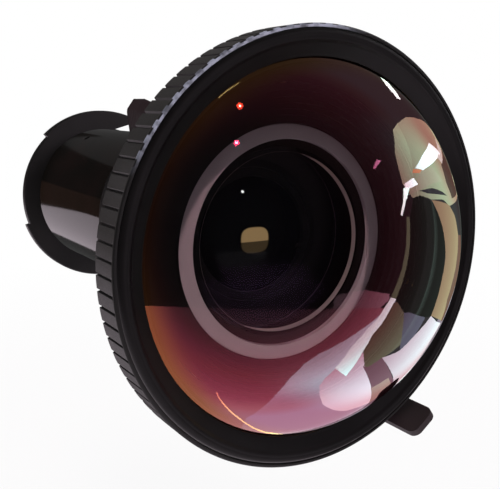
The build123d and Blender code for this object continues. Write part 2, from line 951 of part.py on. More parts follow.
def rear_cell():
    """The inner rear barrel; its end is the spigot that centres the lens."""
    lip_front = rear_glass_front_height + rear_lip_thickness
    body = turned(
        (relay_bore_radius, rear_cell_front),
        (rear_cell_radius, rear_cell_front),
        (rear_cell_radius, tube_back),
        (spigot_radius - spigot_relief, tube_back),
        (spigot_radius - spigot_relief, 0),
        (spigot_radius, 0),
        (spigot_radius, spigot_lead_in - spigot_length),
        (spigot_radius - spigot_lead_in, -spigot_length),
        (rear_bore_radius, -spigot_length),
        (rear_bore_radius, rear_glass_front_height),
        (rear_lip_radius, rear_glass_front_height),
        (rear_lip_radius, lip_front),
        (throat_radius, lip_front),
        (throat_radius, relay_shoulder),
        (relay_bore_radius, relay_shoulder),
    )
    inner = rear_cell_radius - key_screw_bite - screw_gap
    outer = rear_cell_radius + cut_margin
    for angle in thirds(key_screw_angle):
        body -= radial_rod(key_screw_radius + screw_gap, inner, outer, key_screw_height, angle)
    return body


def relay_back_glass():
    """The relay glass on the rear cell's shoulder."""
    return glass(
        relay_glass_radius,
        relay_spacer_back,
        relay_spacer_bore,
        relay_back_curve,
        relay_shoulder,
        throat_radius,
        relay_back_rear_curve,
    )


def relay_spacer():
    """The spacer between the two relay glasses."""
    return tube(relay_glass_radius, relay_spacer_bore, relay_spacer_back, relay_spacer_front)


def relay_front_glass():
    """The relay's front glass."""
    return glass(
        relay_glass_radius,
        relay_glass_front,
        relay_spacer_bore,
        relay_front_curve,
        relay_spacer_front,
        relay_spacer_bore,
        relay_front_rear_curve,
    )


def relay_retaining_ring():
    """The ring that holds the relay stack in the rear cell."""
    front = relay_glass_front + relay_retainer_thickness
    return tube(relay_glass_radius, relay_spacer_bore, relay_glass_front, front)


def rear_glass():
    """The rear glass, put in from behind."""
    return glass(
        rear_glass_radius,
        rear_glass_front_height,
        rear_lip_radius,
        rear_front_curve,
        rear_glass_back,
        rear_retainer_bore,
        rear_back_curve,
    )


def rear_retaining_ring():
    """The ring behind the rear glass, with two spanner slots."""
    low = rear_glass_back - rear_retainer_thickness
    slot = Box(2 * (rear_glass_radius + cut_margin), spanner_slot_width, 2 * spanner_slot_depth)
    return tube(rear_glass_radius, rear_retainer_bore, low, rear_glass_back) - Pos(0, 0, low) * slot


def field_stop():
    """The end plate with a rounded rectangular window for the picture."""
    plate = Circle(rear_glass_radius) - RectangleRounded(window_width, window_height, window_corner)
    return Pos(0, 0, field_stop_setback - spigot_length) * extrude(plate, field_stop_thickness)


makers = (
    grip_ring,
    front_bezel,
    front_glass,
    front_seal,
    front_housing,
    corrector_cell,
    corrector_pins,
    corrector_glass,
    corrector_ring,
    front_baffle,
    focus_ring,
    focus_lever,
    lever_screws,
    finger_lug,
    lug_screws,
    focus_retainer,
    focus_carriage,
    focus_pins,
    focus_retaining_ring,
    focus_front_glass,
    focus_spacer,
    focus_rear_glass,
    aperture_stop,
    barrel_tube,
    barrel_key_screws,
    rear_flange,
    flange_screws,
    rear_cell,
    relay_back_glass,
    relay_spacer,
    relay_front_glass,
    relay_retaining_ring,
    rear_glass,
    rear_retaining_ring,
    field_stop,
)

os.makedirs("parts", exist_ok=True)
for make in makers:
    made = make()
    pieces = made if isinstance(made, list) else [made]
    solids = [solid for piece in pieces for solid in (axis_up * piece).solids()]
    export_step(Compound(children=solids), f"parts/{make.__name__}.step")
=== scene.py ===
"""Looks of a wide-angle projector lens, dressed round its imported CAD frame.

Sizes are in millimetres until a mesh is made, and the scene is in metres.
A point of a turned piece is given by its radius r, its height h above the rear seat towards the
front glass, and its turn a, counter-clockwise from the right seen from the front:
x = r cos a, y = -h, z = r sin a.
"""
from __future__ import annotations

import json
import logging
from dataclasses import dataclass, field
from enum import Enum
from typing import Any, Iterable, Sequence

import bmesh
import bpy
import numpy as np
from bpy.types import Material, Mesh, Node, NodeSocket, NodeTree, Object
from mathutils import Matrix, Vector

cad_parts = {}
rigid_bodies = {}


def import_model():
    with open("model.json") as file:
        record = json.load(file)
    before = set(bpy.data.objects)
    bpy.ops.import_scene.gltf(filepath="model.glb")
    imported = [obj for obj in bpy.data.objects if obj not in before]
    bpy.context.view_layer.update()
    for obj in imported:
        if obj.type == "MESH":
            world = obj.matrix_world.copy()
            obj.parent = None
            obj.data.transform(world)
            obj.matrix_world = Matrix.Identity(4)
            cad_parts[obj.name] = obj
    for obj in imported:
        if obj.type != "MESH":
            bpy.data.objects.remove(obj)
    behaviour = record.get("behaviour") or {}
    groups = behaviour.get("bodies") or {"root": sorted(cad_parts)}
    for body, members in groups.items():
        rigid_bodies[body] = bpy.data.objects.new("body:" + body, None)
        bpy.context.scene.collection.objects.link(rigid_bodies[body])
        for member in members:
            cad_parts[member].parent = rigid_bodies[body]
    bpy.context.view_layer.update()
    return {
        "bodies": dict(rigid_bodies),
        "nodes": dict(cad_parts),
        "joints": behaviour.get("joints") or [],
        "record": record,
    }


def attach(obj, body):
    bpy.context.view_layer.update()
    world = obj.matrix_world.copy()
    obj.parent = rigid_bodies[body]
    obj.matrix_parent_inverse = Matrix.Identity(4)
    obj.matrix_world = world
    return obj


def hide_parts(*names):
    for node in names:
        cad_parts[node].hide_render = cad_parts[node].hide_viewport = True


LOG = logging.getLogger("projector_lens")
MM = 0.001
WHITE = (1.0, 1.0, 1.0, 1.0)
SMOOTH = "SMOOTHSTEP"
Colour = tuple[float, float, float, float]
Triple = tuple[float, float, float]
Pair = tuple[float, float]
Stops = tuple[tuple[float, Triple], ...]


# ---- colours and nodes


def linear(code: str) -> Colour:
    """Turns an sRGB hex code into Blender's linear colour.

    Args:
        code: six hex digits after a #.

    Returns:
        Linear red, green and blue, and 1.
    """
    steps = np.array([int(code[i : i + 2], 16) for i in (1, 3, 5)]) / 255
    low, high = steps / 12.92, ((steps + 0.055) / 1.055) ** 2.4
    red, green, blue = np.where(steps <= 0.04045, low, high)
    return float(red), float(green), float(blue), 1.0


def add(tree: NodeTree, kind: str, values: dict | None = None, **settings: Any) -> Node:
    """Adds a shader node with its settings and links.

    Args:
        tree: node tree that gets the node.
        kind: Blender's name of the node type, without its ShaderNode prefix.
        values: input name or index to a value, to the output that feeds it, or to a node whose
            first output feeds it.
        settings: the node's own properties.

    Returns:
        The new node.
    """
    node = tree.nodes.new("ShaderNode" + kind)
    for key, setting in settings.items():
        setattr(node, key, setting)
    for key, value in (values or {}).items():
        source = value.outputs[0] if isinstance(value, Node) else value
        if isinstance(source, NodeSocket):
            tree.links.new(source, node.inputs[key])
        else:
            node.inputs[key].default_value = source
    return node


def set_stops(node: Node, stops: Iterable[tuple[float, Colour]]) -> Node:
    """Sets the stops of a node's colour ramp.

    Args:
        node: the node.
        stops: position and colour of each stop, in rising order.

    Returns:
        The same node.
    """
    elements = node.color_ramp.elements
    for number, (position, colour) in enumerate(stops):
        element = elements[number] if number < len(elements) else elements.new(1.0)
        element.position, element.color = position, colour
    return node


def new_tree(name: str) -> tuple[Material, NodeTree]:
    """Makes a material with an empty node tree."""
    material = bpy.data.materials.new(name)
    material.use_nodes = True
    material.node_tree.nodes.clear()
    return material, material.node_tree


def off_axis(tree: NodeTree, place: NodeSocket) -> NodeSocket:
    """Gives a place's distance from the lens's axis, in metres."""
    flat = add(tree, "VectorMath", {0: place, 1: (1, 0, 1)}, operation="MULTIPLY")
    return add(tree, "VectorMath", {0: flat}, operation="LENGTH").outputs["Value"]


def plainly_seen(tree: NodeTree) -> Node:
    """Gives 1 on rays from the camera, mirrors and glass, and 0 on those that only carry light.

    Args:
        tree: node tree that gets the nodes.

    Returns:
        The node whose first output is that number.
    """
    path = add(tree, "LightPath")
    seen = path.outputs["Is Camera Ray"]
    for ray in ("Is Glossy Ray", "Is Transmission Ray"):
        seen = add(tree, "Math", {0: seen, 1: path.outputs[ray]}, operation="MAXIMUM")
    return seen


def polish(tree: NodeTree, index: float, share: Any, colour: Any) -> None:
    """Puts out polished glass: a refracting shader mixed with a mirror one.

    Args:
        tree: node tree of the material.
        index: refractive index.
        share: node or socket with the mirror's share.
        colour: the mirror's colour.
    """
    bent = add(tree, "BsdfRefraction", {"IOR": index, "Roughness": 0.0})
    mirror = add(tree, "BsdfGlossy", {"Color": colour, "Roughness": 0.0})
    mixed = add(tree, "MixShader", {0: share, 1: bent, 2: mirror})
    add(tree, "OutputMaterial", {"Surface": mixed})


# ---- finishes


class Pattern(Enum):
    """How a surface was made, with the fineness of the pattern that is left on it."""

    MOULDED = 4.0
    TURNED = 3.0
    SPRAYED = 1.0


@dataclass(frozen=True)
class Finish:
    """An opaque finish of one material and one process.

    Args:
        name: the material and its process.
        colour: main sRGB colour.
        drift: second colour, mixed in over patches.
        roughness: middle roughness.
        spread: how far the roughness wanders from its middle.
        grain: size of the pattern in mm.
        relief: depth of the pattern in mm.
        pattern: how the surface was made.
        metallic: 1 for bare metal.
        specular: specular level of the base.
        patch: size of the colour patches in mm.
        patch_range: noise values between which the colour drifts.
        grain_range: noise values between which the roughness wanders.
    """

    name: str
    colour: str
    drift: str
    roughness: float
    spread: float = 0.06
    grain: float = 0.3
    relief: float = 0.01
    pattern: Pattern = Pattern.MOULDED
    metallic: float = 0.0
    specular: float = 0.5
    patch: float = 18.0
    patch_range: Pair = (0.35, 0.7)
    grain_range: Pair = (0.3, 0.7)

    def field(self, tree: NodeTree) -> Node:
        """Adds the pattern: grains for moulded and sprayed work, and rings for turned work.

        Args:
            tree: node tree of the material.

        Returns:
            The noise node, with values from 0 to 1.
        """
        place, settings = add(tree, "TexCoord").outputs["Object"], {}
        if self.pattern is Pattern.TURNED:
            height = add(tree, "SeparateXYZ", {0: place}).outputs["Y"]
            place = add(tree, "CombineXYZ", {0: off_axis(tree, place), 1: height})
            settings = {"noise_dimensions": "2D"}
        values = {"Vector": place, "Scale": 1 / (self.grain * MM), "Detail": self.pattern.value}
        return add(tree, "TexNoise", values, **settings)

    def material(self) -> Material:
        """Builds the material: colour patches, wandering roughness and the pattern's relief."""
        material, tree = new_tree(self.name)
        place = add(tree, "TexCoord").outputs["Object"]
        size = {"Vector": place, "Scale": 1 / (self.patch * MM), "Detail": 5.0}
        shades = add(tree, "ValToRGB", {"Fac": add(tree, "TexNoise", size)})
        set_stops(shades, zip(self.patch_range, (linear(self.colour), linear(self.drift))))
        grain = self.field(tree)
        low, high = max(self.roughness - self.spread, 0.02), self.roughness + self.spread
        first, last = self.grain_range
        rough = add(tree, "MapRange", {"Value": grain, 1: first, 2: last, 3: low, 4: high})
        relief = {"Height": grain, "Distance": self.relief * MM, "Strength": 1.0}
        values = {
            "Base Color": shades,
            "Metallic": self.metallic,
            "Roughness": rough,
            "Specular IOR Level": self.specular,
            "Normal": add(tree, "Bump", relief),
        }
        add(tree, "OutputMaterial", {"Surface": add(tree, "BsdfPrincipled", values)})
        return material


@dataclass(frozen=True)
class PlasticWithPaintedLight(Finish):
    """Moulded ribbed-ring plastic: a painted highlight on its front edge, painted shade in its
    grooves.

    Args:
        highlight: sRGB colour of the painted highlight on the front edge.
        painted_shade: sRGB colour of the painted shade on the grooves' floors and the front face.
        groove: radii in mm between which the painted shade in a groove sets in.
        edge: heights in mm between which the painted highlight on the front edge begins.
        front: heights in mm between which the painted shade on the front face begins.
        step: how far the painted highlight reaches down the ribs in mm, over one half of each rib.
        half_rib: shares of a rib's turn between which the step comes.
        ribs: number of ribs.
        side: direction across the lens, right and up, in which the painted highlight is strongest.
        lit_span: distances in mm in that direction between which the painted highlight sets in.
        highlight_patch: size of the painted highlight's patches in mm.
        highlight_patch_range: noise values between which they go from faint to full.
        faint: share of the highlight colour between the patches.
    """

    rubbed: str = "#8b90a0"
    painted_shade: str = "#131212"
    groove: Pair = (75.72, 75.62)
    edge: Pair = (202.1, 202.2)
    front: Pair = (202.25, 202.4)
    step: float = 0.7
    half_rib: Pair = (0.45, 0.5)
    ribs: int = 92
    side: Pair = (-0.45, 0.893)
    lit_span: Pair = (57.0, 68.0)
    highlight_patch: float = 3.0
    highlight_patch_range: Pair = (0.35, 0.6)
    faint: float = 0.25

    def material(self) -> Material:
        """Builds the finish, then mixes in the painted shade and the painted highlight by place."""
        material = super().material()
        tree = material.node_tree
        shader = next(n for n in tree.nodes if n.type == "BSDF_PRINCIPLED")
        colour = shader.inputs["Base Color"].links[0].from_socket
        place = add(tree, "TexCoord").outputs["Object"]
        x, y, z = add(tree, "SeparateXYZ", {0: place}).outputs
        turn = add(tree, "Math", {0: z, 1: x}, operation="ARCTAN2")
        ribs = add(tree, "Math", {0: turn, 1: self.ribs / (2 * np.pi)}, operation="MULTIPLY")
        phase = add(tree, "Math", {0: ribs}, operation="FRACT")
        start, end = self.half_rib
        lower = {"Value": phase, 1: start, 2: end, 3: 0.0, 4: self.step * MM}
        height = add(tree, "Math", {0: add(tree, "MapRange", lower), 1: y}, operation="SUBTRACT")
        side = {0: place, 1: (self.side[0], 0.0, self.side[1])}
        toward = add(tree, "VectorMath", side, operation="DOT_PRODUCT").outputs["Value"]
        depth = add(tree, "Math", {0: y, 1: -1.0}, operation="MULTIPLY")
        amount, lit_span, deep, front = (
            add(tree, "MapRange", {"Value": value, 1: low * MM, 2: high * MM}, **settings)
            for value, (low, high), settings in (
                (height, self.edge, {}),
                (toward, self.lit_span, {"interpolation_type": SMOOTH}),
                (off_axis(tree, place), self.groove, {}),
                (depth, self.front, {}),
            )
        )
        # The painted highlight on the front edge, strongest at the upper left where light falls, in
        # patches.
        highlight_patch = {"Vector": place, "Scale": 1 / (self.highlight_patch * MM), "Detail": 3.0}
        low, high = self.highlight_patch_range
        patches = {"Value": add(tree, "TexNoise", highlight_patch), 1: low, 2: high, 3: self.faint, 4: 1.0}
        for share in (lit_span, add(tree, "MapRange", patches)):
            amount = add(tree, "Math", {0: amount, 1: share}, operation="MULTIPLY")
        # Painted shade on the grooves' floors and the front face, then the painted highlight.
        dark = add(tree, "Math", {0: deep, 1: front}, operation="MAXIMUM")
        for share, code in ((dark, self.painted_shade), (amount, self.rubbed)):
            layers = {0: share, 6: colour, 7: linear(code)}
            colour = add(tree, "Mix", layers, data_type="RGBA").outputs[2]
        tree.links.new(colour, shader.inputs["Base Color"])
        return material


@dataclass(frozen=True)
class CoatedGlass:
    """Optical glass with a many-layered anti-reflection coating.

    Seen square on, the coating mirrors almost nothing. With a growing angle it turns crimson, then
    pink and white. Towards the rim, where the layers are thinner, the crimson turns amber.

    Args:
        name: the glass and its coating.
        index: refractive index.
        centre: angle from the square-on view in degrees, and mirrored red, green and blue, in the
            middle.
        belt: the same halfway out.
        rim: the same at the rim.
        to_belt: radii in mm between which the centre's colours give way to the belt's.
        to_rim: radii in mm between which the belt's colours give way to the rim's.
    """

    name: str
    index: float = 1.52
    centre: Stops = (
        (0, (0.003, 0.002, 0.003)), (20, (0.007, 0.003, 0.005)), (30, (0.024, 0.009, 0.012)),
        (39, (0.09, 0.016, 0.026)), (44, (0.135, 0.028, 0.043)), (49, (0.19, 0.05, 0.075)),
        (55, (0.25, 0.11, 0.15)), (60, (0.32, 0.18, 0.23)), (67, (0.42, 0.27, 0.33)),
        (73, (0.5, 0.37, 0.43)), (80, (0.62, 0.52, 0.58)), (85, (0.75, 0.7, 0.72)),
        (90, (1.0, 1.0, 1.0)),
    )
    belt: Stops = (
        (0, (0.003, 0.002, 0.003)), (20, (0.007, 0.003, 0.005)), (28, (0.02, 0.008, 0.01)),
        (34, (0.045, 0.01, 0.014)), (39, (0.085, 0.014, 0.024)), (44, (0.132, 0.02, 0.031)),
        (49, (0.175, 0.027, 0.046)), (55, (0.244, 0.042, 0.07)), (60, (0.34, 0.09, 0.12)),
        (64, (0.36, 0.13, 0.18)), (76, (0.385, 0.148, 0.19)), (84, (0.45, 0.21, 0.25)),
        (90, (1.0, 1.0, 1.0)),
    )
    rim: Stops = (
        (0, (0.003, 0.002, 0.003)), (28, (0.03, 0.009, 0.008)), (34, (0.1, 0.025, 0.016)),
        (38, (0.16, 0.042, 0.02)), (42, (0.2, 0.055, 0.024)), (46, (0.215, 0.06, 0.026)),
        (50, (0.235, 0.07, 0.03)), (54, (0.25, 0.078, 0.034)), (61, (0.262, 0.092, 0.043)),
        (65, (0.314, 0.11, 0.057)), (70, (0.38, 0.14, 0.12)), (77, (0.5, 0.21, 0.19)),
        (90, (1.0, 1.0, 1.0)),
    )
    to_belt: Pair = (38.0, 51.0)
    to_rim: Pair = (58.5, 65.5)

    def material(self) -> Material:
        """Builds the material: the coating's colours by angle, blended from zone to zone."""
        material, tree = new_tree(self.name)
        radius = off_axis(tree, add(tree, "TexCoord").outputs["Object"])
        facing = add(tree, "LayerWeight", {"Blend": 0.5}).outputs["Facing"]
        centre, *outer = (
            set_stops(add(tree, "ValToRGB", {"Fac": facing}), (self.stop(*stop) for stop in stops))
            for stops in (self.centre, self.belt, self.rim)
        )
        colour, share = centre.outputs["Color"], centre.outputs["Alpha"]
        for looks, (start, end) in zip(outer, (self.to_belt, self.to_rim)):
            across = {"Value": radius, 1: start * MM, 2: end * MM}
            blend = add(tree, "MapRange", across, interpolation_type=SMOOTH)
            mixed = {0: blend, 6: colour, 7: looks}
            colour = add(tree, "Mix", mixed, data_type="RGBA").outputs[2]
            share = add(tree, "Mix", {0: blend, 2: share, 3: looks.outputs["Alpha"]})
        polish(tree, self.index, share, colour)
        return material

    @staticmethod
    def stop(angle: float, colour: Triple) -> tuple[float, Colour]:
        """Gives a ramp stop at the angle's facing, 1 - cos(angle).

        Args:
            angle: degrees from the square-on view.
            colour: red, green and blue that are mirrored there.

        Returns:
            The facing, and a colour whose alpha is the mirrored share: colour times alpha is what
            is mirrored.
        """
        share = min(1.0, 1.25 * max(colour))
        red, green, blue = (part / share for part in colour)
        return 1 - float(np.cos(np.radians(angle))), (red, green, blue, share)


@dataclass(frozen=True)
class ClearGlass:
    """Polished optical glass whose coating mirrors only a small share, in one tint.

    Args:
        name: the glass and its coating.
        index: refractive index.
        mirror: mirrored share, square on.
        grazing: mirrored share at a grazing angle.
        tint: sRGB colour of what is mirrored.
        turn_range: facings between which the share rises from mirror to grazing.
    """

    name: str
    index: float = 1.55
    mirror: float = 0.006
    grazing: float = 0.5
    tint: str = "#c8a0d8"
    turn_range: Pair = (0.6, 1.0)

    def material(self) -> Material:
        """Builds the material."""
        material, tree = new_tree(self.name)
        facing = add(tree, "LayerWeight", {"Blend": 0.5}).outputs["Facing"]
        low, high = self.turn_range
        turned = {"Value": facing, 1: low, 2: high, 3: self.mirror, 4: self.grazing}
        share = add(tree, "MapRange", turned, interpolation_type=SMOOTH)
        polish(tree, self.index, share, linear(self.tint))
        return material


@dataclass(frozen=True)
class WindowGlass:
    """Dark coated glass that glows with a painted picture of the window's light behind it.

    Args:
        name: the glass.
        light: sRGB colour of the window's bright upper part.
        dim: sRGB colour of its lower part.
        middle: right and up from the axis, in mm.
        half: half of its width and of its height, in mm.
        outline: values of |x/a|^3 + |z/b|^3 between which the window ends.
        sill: height above its middle, in mm, where the bright part ends.
        blur: half of the sill's softness in mm.
        spark: right and up from the axis to a painted glint of a small lamp, in mm.
        spark_reach: distances from there in mm between which that painted glint fades.
    """

    name: str
    light: str = "#7c6545"
    dim: str = "#33291a"
    middle: Pair = (-2.5, -1.25)
    half: Pair = (6.6, 5.7)
    outline: Pair = (0.88, 1.12)
    sill: float = -0.55
    blur: float = 0.15
    spark: Pair = (-6.6, 19.8)
    spark_reach: Pair = (0.9, 0.25)

    def material(self) -> Material:
        """Builds the material: black gloss with a painted glow inside |x/a|^3 + |z/b|^3 < 1."""
        material, tree = new_tree(self.name)
        place = add(tree, "TexCoord").outputs["Object"]
        moved = {0: place, 1: (-self.middle[0] * MM, 0.0, -self.middle[1] * MM)}
        parts = add(tree, "SeparateXYZ", {0: add(tree, "VectorMath", moved, operation="ADD")})
        powers = []
        for axis, half in zip("XZ", self.half):
            size = add(tree, "Math", {0: parts.outputs[axis]}, operation="ABSOLUTE")
            size = add(tree, "Math", {0: size, 1: 1 / (half * MM)}, operation="MULTIPLY")
            powers.append(add(tree, "Math", {0: size, 1: 3.0}, operation="POWER"))
        total = add(tree, "Math", {0: powers[0], 1: powers[1]}, operation="ADD")
        outside = add(tree, "MapRange", {"Value": total, 1: self.outline[0], 2: self.outline[1]})
        low, high = (self.sill - self.blur) * MM, (self.sill + self.blur) * MM
        above = add(tree, "MapRange", {"Value": parts.outputs["Z"], 1: low, 2: high})
        flat = add(tree, "VectorMath", {0: place, 1: (1, 0, 1)}, operation="MULTIPLY")
        spark = {0: flat, 1: (self.spark[0] * MM, 0.0, self.spark[1] * MM)}
        away = add(tree, "VectorMath", spark, operation="DISTANCE").outputs["Value"]
        outer, inner = (reach * MM for reach in self.spark_reach)
        reach = {"Value": away, 1: outer, 2: inner, 3: 0.0, 4: 1.0}
        lamp = add(tree, "MapRange", reach, interpolation_type="SMOOTHERSTEP")
        # The window's painted light, cut off outside its outline, then the painted glint.
        colour = linear(self.dim)
        for share, top in ((above, linear(self.light)), (outside, (0, 0, 0, 1)), (lamp, WHITE)):
            layers = {0: share, 6: colour, 7: top}
            colour = add(tree, "Mix", layers, data_type="RGBA").outputs[2]
        values = {
            "Base Color": (0.002, 0.002, 0.002, 1),
            "Roughness": 0.05,
            "Specular IOR Level": 0.04,
            "Emission Color": colour,
            "Emission Strength": 1.0,
        }
        add(tree, "OutputMaterial", {"Surface": add(tree, "BsdfPrincipled", values)})
        return material


# Glass-filled nylon from a lightly grained mould: satin, almost black, with painted shade and a
# painted highlight on the ribbed ring.
RING_PLASTIC = PlasticWithPaintedLight(
    "moulded_glass_filled_nylon", "#262524", "#2e2c2c", 0.45, 0.08, 0.35, 0.012, specular=0.3
)
# Aluminium with a black satin paint: smooth, with a soft broad shine.
BEZEL_BLACK = Finish(
    "satin_black_painted_aluminium", "#0c0a0b", "#100e0f", 0.36, 0.05, 0.5, 0.004,
    Pattern.SPRAYED, specular=0.22,
)
# Aluminium tube with black stoving enamel: a clear mirror shine over black.
BARREL_BLACK = Finish(
    "gloss_black_enamelled_aluminium", "#0a0807", "#120b0a", 0.07, 0.02, 0.6, 0.001,
    Pattern.SPRAYED,
)
# Turned aluminium, black anodised: fine rings of turning under a dull sheen.
HOUSING_BLACK = Finish(
    "black_anodised_turned_aluminium", "#131212", "#181617", 0.38, 0.08, 0.25, 0.006,
    Pattern.TURNED,
)
# Flat black paint inside the lens, against stray light: hardly any shine.
INNER_BLACK = Finish(
    "flat_black_sprayed_paint", "#0a0a09", "#0d0c0b", 0.75, 0.05, 0.4, 0.01,
    Pattern.SPRAYED, specular=0.2,
)
# Turned aluminium, blasted and clear anodised: its pale oxide layer scatters light, so it isn't
# set as bare metal.
SATIN_RING = Finish(
    "blasted_turned_aluminium", "#948589", "#9c8d91", 0.55, 0.05, 0.2, 0.003,
    Pattern.TURNED,
)
# Nylon from a finely sparked mould: dull brown-black.
LEVER_PLASTIC = Finish("moulded_nylon", "#241b1d", "#2b2123", 0.5, 0.08, 0.3, 0.012)
# Nitrile rubber, moulded: dull black.
SEAL_RUBBER = Finish("moulded_nitrile_rubber", "#0e0e0e", "#131212", 0.7, 0.05, 0.4, 0.01)
# Alloy steel screws, black oxide: dark metal with a dull shine.
SCREW_STEEL = Finish(
    "black_oxide_steel", "#3a3a3c", "#474648", 0.35, 0.08, 0.3, 0.004,
    Pattern.TURNED, metallic=1.0,
)
# Brass pins as turned.
PIN_BRASS = Finish(
    "turned_brass", "#b08d4a", "#a07f40", 0.3, 0.06, 0.2, 0.003, Pattern.TURNED, metallic=1.0
)
# The dome's front face.
FRONT_COATING = CoatedGlass("crown_glass_many_layer_coating")
# The dome's hollow face mirrors black at a grazing angle from inside: painted shade for light lost
# in the mount.
FRONT_INNER_FACE = ClearGlass(
    "crown_glass_single_layer_coating", index=1.52, mirror=0.0, grazing=1.0, tint="#000000"
)
# The glasses inside.
INNER_GLASS = ClearGlass("flint_glass_single_layer_coating")
# The second glass's land, ground dull, shown as a pale crescent: a painted highlight where light
# falls.
GROUND_GLASS = Finish(
    "ground_glass", "#b29f9c", "#a08d8c", 0.6, 0.05, 0.3, 0.003, Pattern.TURNED
)
# The glass that glows with the picture window's painted light and a painted glint.
WINDOW_GLASS = WindowGlass("coated_glass_with_window_light")


# ---- surfaces


@dataclass
class Surface:
    """Vertices in metres, with four-sided and three-sided faces that point outwards.

    Each row of quads and triangles holds a face's vertex numbers, and slots holds each face's
    material number, with the four-sided faces first.
    """

    points: np.ndarray
    quads: np.ndarray
    triangles: np.ndarray = field(default_factory=lambda: np.zeros((0, 3), int))
    slots: np.ndarray | None = None

    def mesh(self, name: str, crease: float = 30.0) -> Mesh:
        """Makes a smooth mesh.

        Args:
            name: the mesh's name.
            crease: degrees above which the edge between two faces is sharp.

        Returns:
            The mesh, with each face's material number.
        """
        mesh = bpy.data.meshes.new(name)
        corners = np.concatenate([self.quads.ravel(), self.triangles.ravel()]).astype(np.int32)
        sizes = np.repeat([4, 3], [len(self.quads), len(self.triangles)])
        starts = np.concatenate([[0], np.cumsum(sizes)[:-1]]).astype(np.int32)
        mesh.vertices.add(len(self.points))
        mesh.vertices.foreach_set("co", np.ascontiguousarray(self.points, np.float32).ravel())
        mesh.loops.add(len(corners))
        mesh.loops.foreach_set("vertex_index", corners)
        mesh.polygons.add(len(sizes))
        mesh.polygons.foreach_set("loop_start", starts)
        if self.slots is not None:
            mesh.polygons.foreach_set("material_index", self.slots.astype(np.int32))
        mesh.update(calc_edges=True)
        mesh.validate()
        mesh.shade_smooth()
        mesh.set_sharp_from_angle(angle=np.radians(crease))
        return mesh


def turned_points(radius: np.ndarray, height: np.ndarray, turn: np.ndarray) -> np.ndarray:
    """Places points by radius and height in mm and turn in radians, in metres.

    The formula is x = r cos a, y = -h, z = r sin a.
    """
    radius, height, turn = np.broadcast_arrays(radius, height, turn)
    return np.stack([radius * np.cos(turn), -height, radius * np.sin(turn)], axis=-1) * MM


def equal_turns(columns: int) -> np.ndarray:
    """Gives equal turns round the axis, in radians."""
    return np.linspace(0, 2 * np.pi, columns, endpoint=False)


def ring_faces(rows: int, columns: int, closed: bool) -> np.ndarray:
    """Joins rows of points round the axis into faces.

    Args:
        rows: number of rows.
        columns: points in a row.
        closed: whether the last row joins the first.

    Returns:
        Vertex numbers of each face.
    """
    last = rows if closed else rows - 1
    i, j = np.meshgrid(np.arange(last), np.arange(columns), indexing="ij")
    here, beyond, next_j = i * columns, ((i + 1) % rows) * columns, (j + 1) % columns
    quads = np.stack([here + j, here + next_j, beyond + next_j, beyond + j], axis=-1)
    return quads.reshape(-1, 4)


def sheet_faces(rows: int, columns: int) -> np.ndarray:
    """Joins rows of points into the faces of an open sheet.

    Args:
        rows: number of rows.
        columns: points in a row.

    Returns:
        Vertex numbers of each face.
    """
    i, j = np.meshgrid(np.arange(rows - 1), np.arange(columns - 1), indexing="ij")
    here = i * columns + j
    quads = np.stack([here, here + 1, here + columns + 1, here + columns], axis=-1)
    return quads.reshape(-1, 4)


def lathe(profile: np.ndarray, columns: int) -> Surface:
    """Turns a closed profile round the axis: each profile point is repeated at equal turns.

    Args:
        profile: radius and height in mm, counter-clockwise.
        columns: points round the axis.

    Returns:
        The closed ring.
    """
    points = turned_points(profile[:, :1], profile[:, 1:], equal_turns(columns))
    return Surface(points.reshape(-1, 3), ring_faces(len(profile), columns, True))


def dome(profile: np.ndarray, columns: int) -> Surface:
    """Turns a profile that starts and ends on the axis, where its ends get three-sided faces.

    Args:
        profile: radius and height in mm, from the rear pole round the rim to the front pole.
        columns: points round the axis.

    Returns:
        The closed solid, with its rear three-sided faces before its front ones.
    """
    inner = profile[1:-1]
    points = turned_points(inner[:, :1], inner[:, 1:], equal_turns(columns)).reshape(-1, 3)
    poles = turned_points(np.zeros(2), profile[[0, -1], 1], np.zeros(2))
    j = np.arange(columns)
    beyond, rear, last_row = np.roll(j, -1), len(points), (len(inner) - 1) * columns
    back = np.stack([np.full(columns, rear), beyond, j], axis=1)
    front = np.stack([np.full(columns, rear + 1), last_row + j, last_row + beyond], axis=1)
    quads = ring_faces(len(inner), columns, False)
    return Surface(np.concatenate([points, poles]), quads, np.concatenate([back, front]))


def prism(points: np.ndarray) -> Surface:
    """Closes a section that is carried along a path, with a fan from the mean of each end.

    Args:
        points: rows round the section x columns along its path x 3, in metres.

    Returns:
        The closed solid, turned outwards by the sign of its volume.
    """
    rows, columns = points.shape[:2]
    i, j = np.meshgrid(np.arange(rows), np.arange(columns - 1), indexing="ij")
    here, beyond = i * columns + j, ((i + 1) % rows) * columns + j
    quads = np.stack([here, beyond, beyond + 1, here + 1], axis=-1).reshape(-1, 4)
    start = np.arange(rows) * columns
    after, end, first = np.roll(start, -1), columns - 1, rows * columns
    near = np.stack([after, start, np.full(rows, first)], axis=1)
    far = np.stack([start + end, after + end, np.full(rows, first + 1)], axis=1)
    ends = np.concatenate([near, far])
    flat = np.concatenate([points.reshape(-1, 3), points[:, [0, -1]].mean(axis=0)])
    a, b, c, d = (flat[quads[:, k]] - flat[first] for k in range(4))
    volume = sum(np.einsum("ij,ij->", np.cross(a, p), q) for p, q in ((b, c), (c, d)))
    if volume < 0:
        quads, ends = quads[:, ::-1], ends[:, ::-1]
    return Surface(flat, quads, ends)


